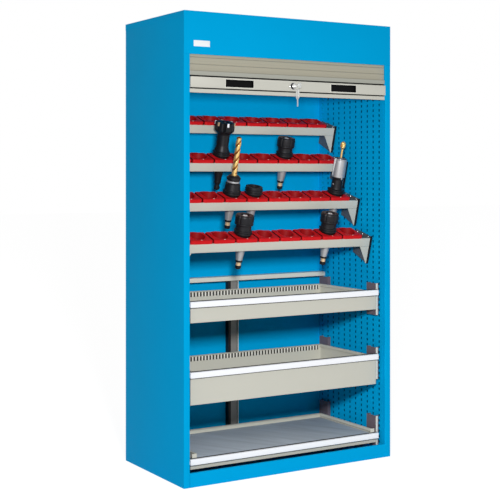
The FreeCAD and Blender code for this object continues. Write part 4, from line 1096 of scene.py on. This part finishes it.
def tool_piece(node, shape, shelf, index, body, looks=tool_looks, slot="black_steel", made="turned"):
    """Piece for a tool that is made about Z and stands in holder `index` of a shelf (0 is on top)."""
    standing = on_shelf(moved(shape, x=holder_x(index), y=bore_v, z=seat_height), shelf)
    piece(f"{node}_{made}", standing, body, slot, [node], looks)


# %% Collet chucks
def nut_slots(r, h, a):
    """Six narrow slots in the nut: r - 2.2 exp(-((share of a sixth - 0.5) / 0.07)^2)."""
    share = (a * 6 / (2 * np.pi)) % 1
    return r - 2.2 * np.exp(-((share - 0.5) / 0.07) ** 2) * ((h > 50) & (h < 87) & (r > 26))


collet_outline = foot + [(34, 19), (34, 40), (38, 42.5), (41, 44.5), (41, 49), (39.4, 50), (39.4, 52),
                         (41, 53), (41, 78), (38, 85.4), (36, 86), (22, 86), (20, 84.5), (18, 82),
                         (10, 82), (9.4, 84), (3.4, 84), (3, 76), (0, 76)]
# Number 3 paints a white highlight on the collet's face in the nut's mouth.
collet = machined(collet_outline, 0.4, foot_bands + [(80, 84.5, 10.4, pale)], 144, nut_slots)
for name, shelf, index in (("upper_collet", 1, 5), ("left_collet", 3, 2), ("right_collet", 3, 6)):
    tool_piece(name + "_chuck", collet, shelf, index, name + "_tool")


# %% Face mill
def gullets(r, h, a):
    """Six gullets in the cutter: r (1 - 0.22 max(0, cos 6a)^3)."""
    return r * (1 - 0.22 * np.maximum(0, np.cos(6 * a)) ** 3 * ((h > 114) & (r > 16)))


mill_outline = foot + [(34, 19), (34, 23), (29, 40), (28, 46), (28, 95), (31, 101), (39, 109), (42, 112),
                       (44, 117), (44, 150), (42, 152), (17, 152), (14, 150), (14, 146), (0, 146)]
mill = machined(mill_outline, 0.8, [], 144, gullets)
insert = rounded_box((39.0, -1.5, 136), (45.4, 7.5, 152.8), 0.9)
inserts = []
for number in range(6):
    turn = math.radians(60 * number + 16)
    c, s = math.cos(turn), math.sin(turn)
    shape = changed(insert, lambda x, y, z: (x * c - y * s, x * s + y * c, z))
    inserts.append(painted(shape, 1 + number % 2))
tool_piece("face_mill", together(mill, *inserts), 1, 2, "face_mill_tool",
           ["black_steel", "handle_aluminium", "cream_brass"])

# %% Drill chuck, stub adapter and end mill holder
chuck_outline = foot + [(36, 19), (35, 21), (33, 46), (31.5, 48), (27, 51), (27, 53), (29, 54),
                        (29, 60), (27, 61.5), (27, 63), (31, 66), (31, 75), (28, 78), (22, 84),
                        (12, 84.2), (12, 83), (0, 83)]
tool_piece("drill_chuck", machined(chuck_outline, 0.6, foot_bands + [(53, 61, 30, silver)]), 2, 2,
           "drill_tool")
stub_outline = foot + [(38, 19.5), (40, 21), (40, 24), (38, 26), (38, 33), (36.5, 34), (26, 34),
                       (24, 32.5), (24, 27), (0, 26)]
tool_piece("stub_adapter", machined(stub_outline, 0.6, foot_bands), 2, 3, "adapter_tool")


def drive_lugs(r, h, a):
    """Two slots across the sleeve's rim: r drops by a quarter where |sin a| < 0.25."""
    return r * (1 - 0.25 * ((h > 150) & (np.abs(np.sin(a)) < 0.25) & (r > 20)))


sleeve_outline = foot + [(31, 19), (28, 22), (27, 26), (25, 64), (27, 70), (29, 74), (29, 77.6),
                         (30, 80), (30, 158.5), (28.5, 160), (27, 161), (27, 165), (26, 166), (21, 166),
                         (20, 163), (9, 162), (9, 158), (0, 158)]
sleeve = machined(sleeve_outline, 0.7, foot_bands + [(78, 164, any_radius, silver)], 96, drive_lugs)
tongue = painted(rounded_box((-3.5, -31.6, 70), (3.5, -26, 90), 1.2), silver)
screw = turned([(0, -4), (3.6, -4), (3.6, 1.6), (2.4, 2.4), (0, 2.4)], 24, marks=silver)
screw = changed(screw, lambda x, y, z: (-26 - z, y - 6, x + 44))
tool_piece("end_mill_holder", together(sleeve, tongue, screw), 2, 7, "end_mill_tool")


# %% Twist drill and end mill
def fluted(heights, radii, lead, flutes, depth, start, around=48):
    """Cutting tool with helical flutes: r (1 - depth max(0, cos(n (a - 2 pi z / lead)))^1.5) above
    the plain shank."""
    def wave(r, h, a):
        twist = a - 2 * np.pi * h / lead
        eased = np.clip((h - start) / 6, 0, 1)
        return r * (1 - depth * eased * np.maximum(0, np.cos(flutes * twist)) ** 1.5)
    return turned(np.stack([radii, heights], 1), around, wave)


# The flutes' floors are painted brown as the shade in them.
finish("flute_shade_brown", (150, 92, 40), 0.35, 0.5, mottle=0.12, patch=6)
drill_length, drill_radius, tip_length, drill_foot = 176.0, 12.0, 7, 84
shaded_flute_share = 0.86
z = np.linspace(0, drill_length, 150)
drill_radii = drill_radius * np.minimum(1, np.maximum(0, (drill_length - z) / tip_length) ** 0.9)
drill_radii[0] = 0
drill = marked(fluted(z + drill_foot, drill_radii, 72, 2, 0.42, 90),
               lambda x, y, z: np.hypot(x, y) < shaded_flute_share * drill_radius, 1)
tool_piece("twist_drill", drill, 2, 2, "drill_tool", ["gold_carbide", "flute_shade_brown"], "gold_carbide",
           "fluted")

mill_length, ball_radius, mill_foot = 80, 12.5, 166
z = np.linspace(0, mill_length, 80)
in_ball = np.maximum(0, z - (mill_length - ball_radius)) / ball_radius
mill_radii = np.interp(z, [0, 42, 52, mill_length], [5, 5, 12, ball_radius])
mill_radii *= np.sqrt(np.maximum(0, 1 - in_ball ** 2))
mill_radii[0] = 0
end_mill = fluted(z + mill_foot, mill_radii, 55, 2, 0.35, 212)
tool_piece("end_mill", end_mill, 2, 7, "end_mill_tool", None, "gold_carbide", "fluted")

# %% [markdown]
# ## Drawers, tray and runners
# The drawers are folded boxes whose rims and runner rails are all in the CAD. A merged copy with its
# edges eased is what sheet metal needs.

# %% Drawers and tray
units = {"upper_drawer": "upper_drawer_unit", "lower_drawer": "lower_drawer_unit",
         "pull_out_tray": "tray_unit"}
for node, body in units.items():
    eased_copy(node, node + "_sheet", body, "grey_paint", 0.35)

# %% [markdown]
# Along the inside of each drawer's rear wall, over its divider slots, a dark band is painted as the
# shade in the slots, with a row of pale upright ribs painted as the lit bars between them.

# %% Painted shade over the divider slots
rib_pitch, rib_width, strip_top, strip_foot, strip_half = 16.5, 6.5, 6.0, 26.0, 440
# Pale ribs painted as lit bars, and a dark band painted as the shade in the slots.
finish("rib_highlight", (232, 231, 222), 0.46, mottle=0.025, patch=160)
finish("slot_shade_band", (72, 70, 66), 0.6, mottle=0.1, patch=40)
for node in ("upper_drawer", "lower_drawer"):
    high = span(node)[1]
    y, top_z, foot_z = high[1] - sheet, high[2] - strip_top, high[2] - strip_foot
    ribs = [moved(block(-rib_width / 2, rib_width / 2, y - 2.2, y - 0.5, foot_z, top_z, 0.3, mark=1),
                  x=number * rib_pitch) for number in range(-26, 27)]
    band = block(-strip_half, strip_half, y - 1, y, foot_z, top_z, 0.3)
    piece(node + "_slot_shade_strip", together(band, *ribs), units[node], "grey_paint",
          looks=["slot_shade_band", "rib_highlight"])

# %% [markdown]
# The handles are extruded sections carried straight across. Each has a thin dark sealing lip along
# its top rear edge, and below it at the back a black strip is painted as the handle's shadow on the front.

# %% Handles
shadow_drop = 4.0
ease = [0.3, 0.3, 0.3, 2, 2, 1, 0.8, 0.8, 1.2, 1.2, 0.6, 0.4, 0.4]
for node, body in units.items():
    low, high = span(node + "_handle")
    (front, bottom), (rear, crown) = low[1:], high[1:]
    grip_line = [(rear, crown + 3), (rear - 1.6, crown + 3), (rear - 2, crown), (front + 2.5, crown),
                 (front, crown - 2.5), (front, bottom + 2), (front + 1.5, bottom), (front + 3.5, bottom),
                 (front + 3.5, crown - 5), (front + 6, crown - 2.5), (rear - 2.5, crown - 2.5),
                 (rear - 2.5, bottom + 3), (rear, bottom + 3)]
    profile = carried(rounded(grip_line, ease), low[0], high[0], 0)
    # Black strip behind and below the handle: painted shadow of the handle on the drawer's front.
    clip = block(low[0] + 2, high[0] - 2, rear - 1.2, rear - 0.1, bottom - shadow_drop, bottom + 4, 0.3,
                 mark=1)
    handle = together(marked(profile, lambda x, y, z: z > crown + 0.05, 1), clip)
    piece(node + "_handle_profile", handle, body, "handle_aluminium", [node + "_handle"],
          ["handle_aluminium", "black_plastic"])

# %% [markdown]
# The mat is ribbed rubber with a slightly domed edge. The faint slanting bands where it catches the
# light are painted sheen: streaks in the colour of its finish.

# %% Mat
mat_low, mat_high = span("tray_mat")
mat = marked(rounded_box(mat_low, mat_high, 1.2), lambda x, y, z: y < mat_low[1] + 0.8, 1)
piece("tray_mat_sheet", mat, "tray_unit", "mat_rubber", ["tray_mat"], ["mat_rubber", "black_plastic"])

# %% Runner brackets
bracket_front = span("runner_brackets")[0][1]
# The brackets' webs are painted dark as shade, and their front edges pale as a highlight.
finish("shaded_web", (112, 100, 108), 0.5, 0.1, mottle=0.1, patch=20)


def behind_front(x, y, z):
    """0, painted pale as a highlight, on faces that look to the front at the brackets' front edge; 1, painted dark
    as shade, on all others.
    """
    return y > bracket_front + 1.0


eased_copy("runner_brackets", "hat_brackets", "carcass", "galvanised", 0.5,
           ["pale_grey_and_highlight", "shaded_web"], behind_front)
